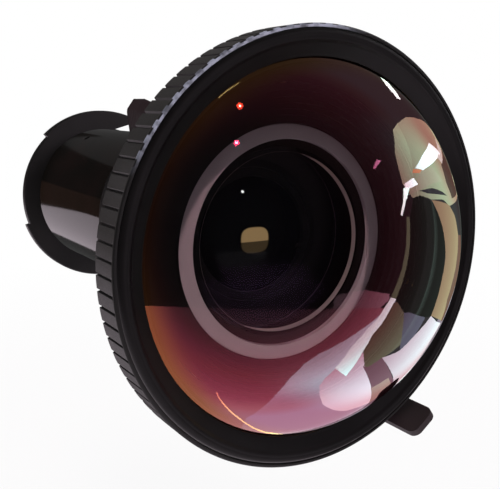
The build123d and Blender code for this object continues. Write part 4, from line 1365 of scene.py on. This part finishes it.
CARDS: tuple[Card, ...] = (
    Card("cool_sheet", ((160.5, -73.5), (136, -85.5), (8, -80.5), (2, -68.5), (5.5, -58.5),
        (12.5, -51.5), (23, -45), (32, -38), (40.5, -31), (45, -26.5), (45.5, -22.5), (49, -23.5),
        (46.5, -29), (45, -34), (43, -39), (44.5, -46), (61, -51.5), (125, -36.5), (130, -35),
        (154, -50)), (1.95, 5.4, 4.6), 3.05, PALE, Fade((1.1, 1.35, 1.5), (125, -62), (18, 42))),
    Card("bright_sheet", ((45, -67.5), (66.5, -69.5), (92.5, -66.5), (110.5, -57.5), (119, -48.5),
        (121, -44), (125, -37), (60.5, -51.5), (45, -46.5), (40, -47), (39.5, -51), (37, -58),
        (38.5, -63.5)), (2, 2.9, 2.7), 2.6, PALE),
    Card("glass_box", ((44.5, -46), (43.5, -39.5), (46.5, -29), (46, -25), (50.5, -24.5),
        (60, -28.5), (68, -34.5), (76.5, -38.5), (72, -43.5), (65.5, -51), (59.5, -52)),
        (0.36, 0.56, 0.3), 2.65),
    Card("violet_glass", ((60, -28.5), (65, -28), (85, -27.5), (85, -33), (81, -39.5),
        (76.5, -38.5), (68, -34.5)), (0.28, 0.45, 0.5), 2.64),
    Card("wedge", ((59.5, -52), (65.5, -51), (69.5, -45.5), (124, -32), (125, -37)),
        (0.45, 0.38, 0.4), 2.55),
    Card("wedge_foot", ((99, -49), (102, -42.5), (124, -32), (125, -37)), (0.9, 1, 0.75), 2.5),
    Card("pale_sheet", ((69.5, -45.5), (81, -39.5), (85, -33), (92, -26), (106, -24.5),
        (121, -20.5), (120, -23.5), (127, -24.5), (134, -22.5), (122.5, -32.5)), (1.5, 2, 1.87),
        2.5, PALE),
    Card("dark_chair", ((62.5, 13.5), (69, 12.5), (78, 7.5), (82, 3), (85.5, -2), (88, -7),
        (88.5, -11.5), (89, -16.5), (90.5, -22), (92, -26), (85, -27.5), (65, -28), (60.5, -28.5),
        (50.5, -24.5), (49, -23.5), (51, -14), (52.5, -7), (54, 0.5), (56, 8)), (0.04, 0.07, 0.05),
        2.75),
    Card("cream_wall", ((89.5, 31.5), (102, 25), (113.5, 15.5), (125, 5.5), (129.5, 1), (127, 0),
        (125, -1), (127.5, -3.5), (126, -5), (98, 0.5), (91.5, 4), (78.5, 8), (69, 12.5),
        (62.5, 13.5), (60, 17.5), (61.5, 21), (63.5, 25.5), (71, 30)), (0.86, 1.55, 0.84), 2.8,
        fade=Fade((0.85, 1.05, 0.62), (118, 4), (8, 28))),
    Card("cream_side", ((81, 34), (89.5, 31.5), (84, 27.5), (76.5, 23), (69, 19), (60.5, 16.5),
        (59, 20.5), (62, 26), (67, 30.5)), (0.98, 1.95, 1.03), 2.78),
    Card("dim_corner", ((132.5, -1), (130, -1.5), (130, -3), (123.5, -2.5), (127.5, -5), (106, 0),
        (103, 4.5), (106, 7.5)), (0.2, 0.22, 0.15), 2.7),
    Card("grey_leaf", ((78.5, 18), (92, 13.5), (97.5, 7), (81.5, 12), (64, 15), (61.5, 16)),
        (0.95, 1.5, 0.88), 2.65),
    Card("black_patch", ((69.5, 14), (82.5, 10.5), (94.5, 5), (98, 3), (85.5, 7.5), (77, 10.5)),
        (0.1, 0.15, 0.14), 2.6),
    Card("window", ((105, 14), (114.5, 6), (104.5, 10), (81.5, 17), (75, 20.5), (88.5, 19)),
        (2.8, 5.5, 4.5), 2.5),
    Card("window_end", ((122, 5), (122, 3), (109, 6.5), (105.5, 9.5)), (1.5, 2.5, 1.9), 2.5),
    Card("window_glow", ((73, 21), (80.5, 17.5), (76.5, 18), (70.5, 20.5)), (1.8, 1.2, 0.5), 2.5),
    Card("window_side", ((60, 20), (69.5, 19), (71, 16), (64, 17), (59.5, 18)), (4, 9, 7), 2.5),
    Card("window_strip", ((58, 19), (63, 17.5), (56, 14), (50.5, 9.5), (49.5, 10.5), (54, 14.5)),
        (4.7, 17, 11.5), 2.5),
    Card("lamp_strip", ((129, 15.5), (130, 13.5), (126, 15.5), (116.5, 19.5), (114, 22.5),
        (120.5, 21.5)), (3.5, 8, 6.5), 2.5),
    Card("pink_streak", ((50.5, 34.5), (53, 33), (45.5, 32), (43.5, 32.5)), (3, 3.5, 4.5), 2.5),
    Card("orange_core", ((-80.1, 79.2), (-79, 78.8), (-79.5, 78.5), (-81.2, 78.5), (-83.2, 78.7),
        (-84.4, 79.1), (-84, 79.4), (-82.2, 79.4)), (260, 260, 200), 2.35),
    Card("orange_lamp", ((-78.2, 79.5), (-76.2, 78.7), (-77.4, 78.1), (-80.8, 78), (-84.9, 78.5),
        (-87.5, 79.2), (-86.8, 79.8), (-82.8, 79.9)), (60, 16, 8), 2.4),
    Card("orange_glow", ((-75, 79.9), (-71.6, 78.3), (-74.1, 77.2), (-80.2, 77.2), (-87.6, 78),
        (-92.9, 79.3), (-92.2, 80.5), (-84.1, 80.8)), (7, 2.2, 0.9), 2.45),
    Card("pink_core", ((-53.1, 58.5), (-53.2, 58.2), (-53.6, 58), (-54.2, 58.1), (-54.5, 58.4),
        (-54.5, 58.7), (-54.1, 58.9), (-53.5, 58.8)), (900, 900, 900), 2.35),
    Card("pink_lamp", ((-52.2, 58.6), (-52.3, 57.9), (-53.3, 57.5), (-54.5, 57.7), (-55.4, 58.3),
        (-55.3, 59), (-54.4, 59.4), (-53.1, 59.2)), (500, 60, 110), 2.4),
    Card("pink_glow", ((-51, 58.7), (-51.2, 57.4), (-52.9, 56.7), (-55.1, 57), (-56.6, 58.2),
        (-56.5, 59.5), (-54.8, 60.2), (-52.4, 59.9)), (60, 5, 14), 2.45),
    Card("dim_edge", ((108, -50), (150, -52), (150, -12), (108, -14)), (0.45, 0.5, 0.55), 3.15),
    Card("rear_dark", ((-135, 3), (-135, 60), (-168, 16.5), (-195, 16.5), (-195, 3)),
        (0.02, 0.02, 0.018), 3.0, (0.012, 0.012, 0.011), middle=0.0),
    Card("rear_brown", ((-135, -14), (-135, 3), (-195, 3), (-195, -15)), (0.09, 0.055, 0.04), 3.6,
        (0.05, 0.03, 0.022), middle=0.0),
    Strip("pale_line", (((44.9, -22.5), (42.7, -26.3), (40.8, -31.7), (37, -36.5), (33.5, -45.7),
        (35.9, -57.7)), ((48.8, -23.3), (47.4, -27.5), (46.2, -33.6), (43.7, -38.8), (45.9, -46.8),
        (55.9, -58.5))), (3, 9.2, 6.8), 2.5, PALE),
    Strip("olive_line", (((53.3, 8.5), (51.2, 1), (49.4, -6.2), (47.6, -12.8), (44.9, -20.4),
        (44.7, -22.9)), ((55.7, 8), (53.9, 0.6), (52.4, -6.9), (50.8, -13.8), (49.3, -20.1),
        (48.8, -23.3))), (0.4, 1.2, 0.55), 2.5),
    Strip("tan_band", (((78.4, 7.9), (81.8, 2.8), (84.8, -1.9), (87.2, -6.7), (89, -10.9),
        (88.9, -16.6), (90.4, -21.8), (92.1, -25.9)), ((98.2, 0.7), (105.9, -3.7), (110.7, -7.8),
        (111, -10.7), (110.8, -13.5), (109.7, -16.2), (110, -19.2), (118.9, -20.8))),
        (0.7, 0.72, 0.37), 2.7),
    Strip("brown_strip", (((110.7, -7.8), (111, -10.7), (110.8, -13.5), (109.7, -16.2),
        (110, -19.2), (118.9, -20.8)), ((120.2, -8.8), (124.8, -11), (126.2, -12.8), (129, -13.9),
        (122.7, -17), (126, -18.6))), (0.3, 0.24, 0.16), 2.68),
    Strip("table_corner", (((7.1, -21.2), (16.7, -19.5), (26.3, -18.9), (43.2, -21.2)),
        ((13.2, -38.6), (23.2, -35.7), (32.2, -32), (43.8, -23.8))), (1, 1.5, 1.4), 3.1, PALE),
    Strip("rim_gleam", (((-127.7, 73.5), (-143, 76), (-159.5, 77.3), (-174.8, 77.6)), ((-126, 73.7),
        (-140.3, 76.4), (-157.2, 77.9), (-174.1, 78))), (1.5, 3.6, 3), 2.4),
    Strip("orange_arc", (((-105.3, -74), (-121.2, -76.4), (-159.3, -77.6), (166, -72.6),
        (153, -65.2), (147.2, -57.4), (142.8, -48.7), (141.5, -40.6)), ((-108.3, -73.9),
        (-125.2, -76.2), (-163, -76.7), (164.8, -71.1), (152.8, -63.3), (147.3, -54.9),
        (143.5, -45.1), (143, -34.7))), (3.2, 4.5, 2.2), 2.4),
)


@dataclass(frozen=True)
class Lamp:
    """A soft square lamp that looks at the lens.

    Args:
        name: the lamp's name.
        place: its place in metres.
        size: its side in metres.
        power: its power in watts.
        colour: its sRGB colour.
        gloss: whether dull shine shows it.
        aim: the point that it looks at, in metres.
    """

    name: str
    place: Triple
    size: float
    power: float
    colour: str
    gloss: bool = False
    aim: Triple = (0.0, -0.15, 0.0)

    def build(self) -> None:
        """Adds the lamp."""
        data = bpy.data.lights.new(self.name, "AREA")
        data.size, data.energy, data.color = self.size, self.power, linear(self.colour)[:3]
        lamp = placed(self.name, data)
        lamp.location = self.place
        lamp.rotation_mode = "QUATERNION"
        aim = Vector(self.aim) - Vector(self.place)
        lamp.rotation_quaternion = aim.to_track_quat("-Z", "Y")
        lamp.visible_glossy = self.gloss
        lamp.visible_camera = lamp.visible_transmission = False


# All but table_glow stand beyond the mirrored room, which casts no shadow, so the glass doesn't
# mirror them.
LAMPS: tuple[Lamp, ...] = (
    Lamp("key_lamp", (-1.6, -3.2, 4.6), 2.2, 190.0, "#fff8f2"),
    Lamp("fill_lamp", (-4.6, -3.4, -0.2), 3.0, 48.0, "#f2ecff"),
    Lamp("table_glow", (0.1, -0.38, -0.235), 0.4, 0.6, "#efe4f2"),
    Lamp("low_front_lamp", (2.4, -3.7, 1.3), 2.0, 90.0, "#efe0ea", gloss=True),
    Lamp("back_lamp", (2.4, 4.2, 3.4), 2.4, 40.0, "#fff9f4", gloss=True),
    Lamp("side_lamp", (4.6, 0.9, 2.2), 2.6, 220.0, "#fbf8ff", gloss=True),
    Lamp("rear_fill", (-3.4, 4.2, 1.4), 2.4, 320.0, "#fbf8ff"),
)


@dataclass(frozen=True)
class RingBeam:
    """The narrow beam of a spot lamp inside the lens, behind the dome, which ends in a circle on
    the satin ring.
    """

    height: float = 180.4
    radius: float = 42.4
    middle: Pair = (-2.8, -5.7)  # right and up from the axis
    distance: float = 0.048
    power: float = 0.078
    colour: str = "#ffe6ea"
    softness: float = 0.0005
    blend: float = 0.02  # share of the circle over which its edge fades

    def build(self) -> None:
        """Adds the lamp."""
        data = bpy.data.lights.new("ring_light", "SPOT")
        data.spot_size = 2 * float(np.arctan(self.radius * MM / self.distance))
        data.spot_blend, data.shadow_soft_size = self.blend, self.softness
        data.energy, data.color = self.power, linear(self.colour)[:3]
        lamp = placed("ring_light", data)
        x, z = (place * MM for place in self.middle)
        lamp.location = (x, -self.height * MM - self.distance, z)
        lamp.rotation_euler = (np.pi / 2, 0.0, 0.0)
        lamp.visible_glossy = lamp.visible_transmission = False


@dataclass(frozen=True)
class Floor:
    """The pale floor: the camera sees it nearly white, with the lens's soft shadow on it."""

    height: float = -0.25
    half: float = 6.0
    points: int = 25
    plain: float = 0.6
    reach: Pair = (0.35, 1.1)  # metres from the origin between which it turns whiter
    glow: Pair = (0.85, 1.0)  # shares of plain white light there

    def build(self) -> None:
        """Makes the floor."""
        side = np.linspace(-self.half, self.half, self.points)
        x, y = np.meshgrid(side, side)
        points = np.stack([x, y, np.full_like(x, self.height)], axis=-1)
        mesh = Surface(points.reshape(-1, 3), sheet_faces(*x.shape)).mesh("floor")
        material, tree = new_tree("matt_pale_card")
        plain = add(tree, "BsdfDiffuse", {"Color": (self.plain, self.plain, self.plain, 1.0)})
        white = add(tree, "Emission", {"Color": WHITE, "Strength": 1.0})
        place = add(tree, "TexCoord").outputs["Object"]
        away = add(tree, "VectorMath", {0: place}, operation="LENGTH").outputs["Value"]
        (near, far), (least, most) = self.reach, self.glow
        whiter = {"Value": away, 1: near, 2: far, 3: least, 4: most}
        share = add(tree, "MapRange", whiter, interpolation_type=SMOOTH)
        share = add(tree, "Math", {0: plainly_seen(tree), 1: share}, operation="MULTIPLY")
        mixed = add(tree, "MixShader", {0: share, 1: plain, 2: white})
        add(tree, "OutputMaterial", {"Surface": mixed})
        mesh.materials.append(material)
        floor = placed("floor", mesh)
        # Mirrors and glass see the white table instead.
        floor.visible_glossy = floor.visible_transmission = False


@dataclass
class Studio:
    """Pale floor, soft lamps, the room that polished faces mirror, and the camera."""

    camera_place: Triple = (-0.1559, -0.4030, 0.0515)
    camera_right: Triple = (0.8453, -0.5344, 0.0)
    camera_up: Triple = (0.1001, 0.1584, 0.9823)
    camera_forward: Triple = (0.5249, 0.8303, -0.1874)
    focal: float = 54.68
    sensor: float = 36.0
    clip: Pair = (0.01, 50.0)
    room: Triple = (0.085, 0.12, 0.105)
    room_dull: Triple = (0.06, 0.06, 0.06)
    room_radius: float = 4.0
    table: Triple = (1.0, 1.0, 1.0)
    table_radius: float = 3.2
    table_top: tuple[Pair, ...] = (
        (-180, -14), (-166, -11.5), (-159, -8), (-135, -14), (-108, -24), (-98, -26.5),
        (38, -26), (60, -29), (64, -29), (66, -50), (154, -50), (180, -50),
    )
    soft_light: str = "#e8e6ea"
    soft_strength: float = 0.25

    def camera(self) -> None:
        """Sets the camera from its place and its three axes."""
        data = bpy.data.cameras.new("camera")
        data.lens, data.sensor_width = self.focal, self.sensor
        data.clip_start, data.clip_end = self.clip
        camera = placed("camera", data)
        axes = Matrix((self.camera_right, self.camera_up, -Vector(self.camera_forward)))
        camera.matrix_world = Matrix.Translation(self.camera_place) @ axes.transposed().to_4x4()
        bpy.context.scene.camera = camera

    def world(self) -> None:
        """Fills the room with soft light, and shows the camera and glass a white backdrop."""
        world = bpy.data.worlds.new("studio")
        bpy.context.scene.world = world
        world.use_nodes = True
        world.cycles_visibility.glossy = False  # mirrors see the room instead
        tree = world.node_tree
        tree.nodes.clear()
        soft = {"Color": linear(self.soft_light), "Strength": self.soft_strength}
        soft = add(tree, "Background", soft)
        white = add(tree, "Background", {"Color": WHITE, "Strength": 1.0})
        mixed = add(tree, "MixShader", {0: plainly_seen(tree), 1: soft, 2: white})
        add(tree, "OutputWorld", {"Surface": mixed})

    def mirrored_room(self) -> None:
        """Hangs the dim room and the white table, and the cards in front of them."""
        grids = np.meshgrid(np.linspace(-180, 180, 73), np.linspace(-90, 90, 37), indexing="ij")
        glowing("dim_room", sheet(*grids, self.room_radius, 0.0), self.room, self.room_dull)
        turns = np.linspace(-180, 180, 361)
        top = np.interp(turns, *np.array(self.table_top, float).T)
        share = np.linspace(0, 1, 16)
        azimuth, elevation = turns[:, None] + 0 * share, -90 + share * (top[:, None] + 90)
        table = sheet(azimuth, elevation, self.table_radius, 0.0)
        glowing("white_table", table, self.table, PALE)
        for card in CARDS:
            card.build()

    def build(self) -> None:
        """Sets up the whole studio."""
        bpy.context.scene.view_settings.view_transform = "Standard"
        self.camera()
        self.world()
        Floor().build()
        self.mirrored_room()
        for lamp in (*LAMPS, RingBeam()):
            lamp.build()


def main() -> None:
    """Builds the looks round the frame, and notes the sizes."""
    logging.basicConfig(level=logging.INFO, format="%(message)s")
    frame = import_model()
    shop = Shop(frame)
    Studio().build()
    for part in (FrontBezel(), RibbedRing(), FrontGlass(), InnerLens(), Barrel(), FocusRing()):
        part.build(shop)


if __name__ == "__main__":
    main()
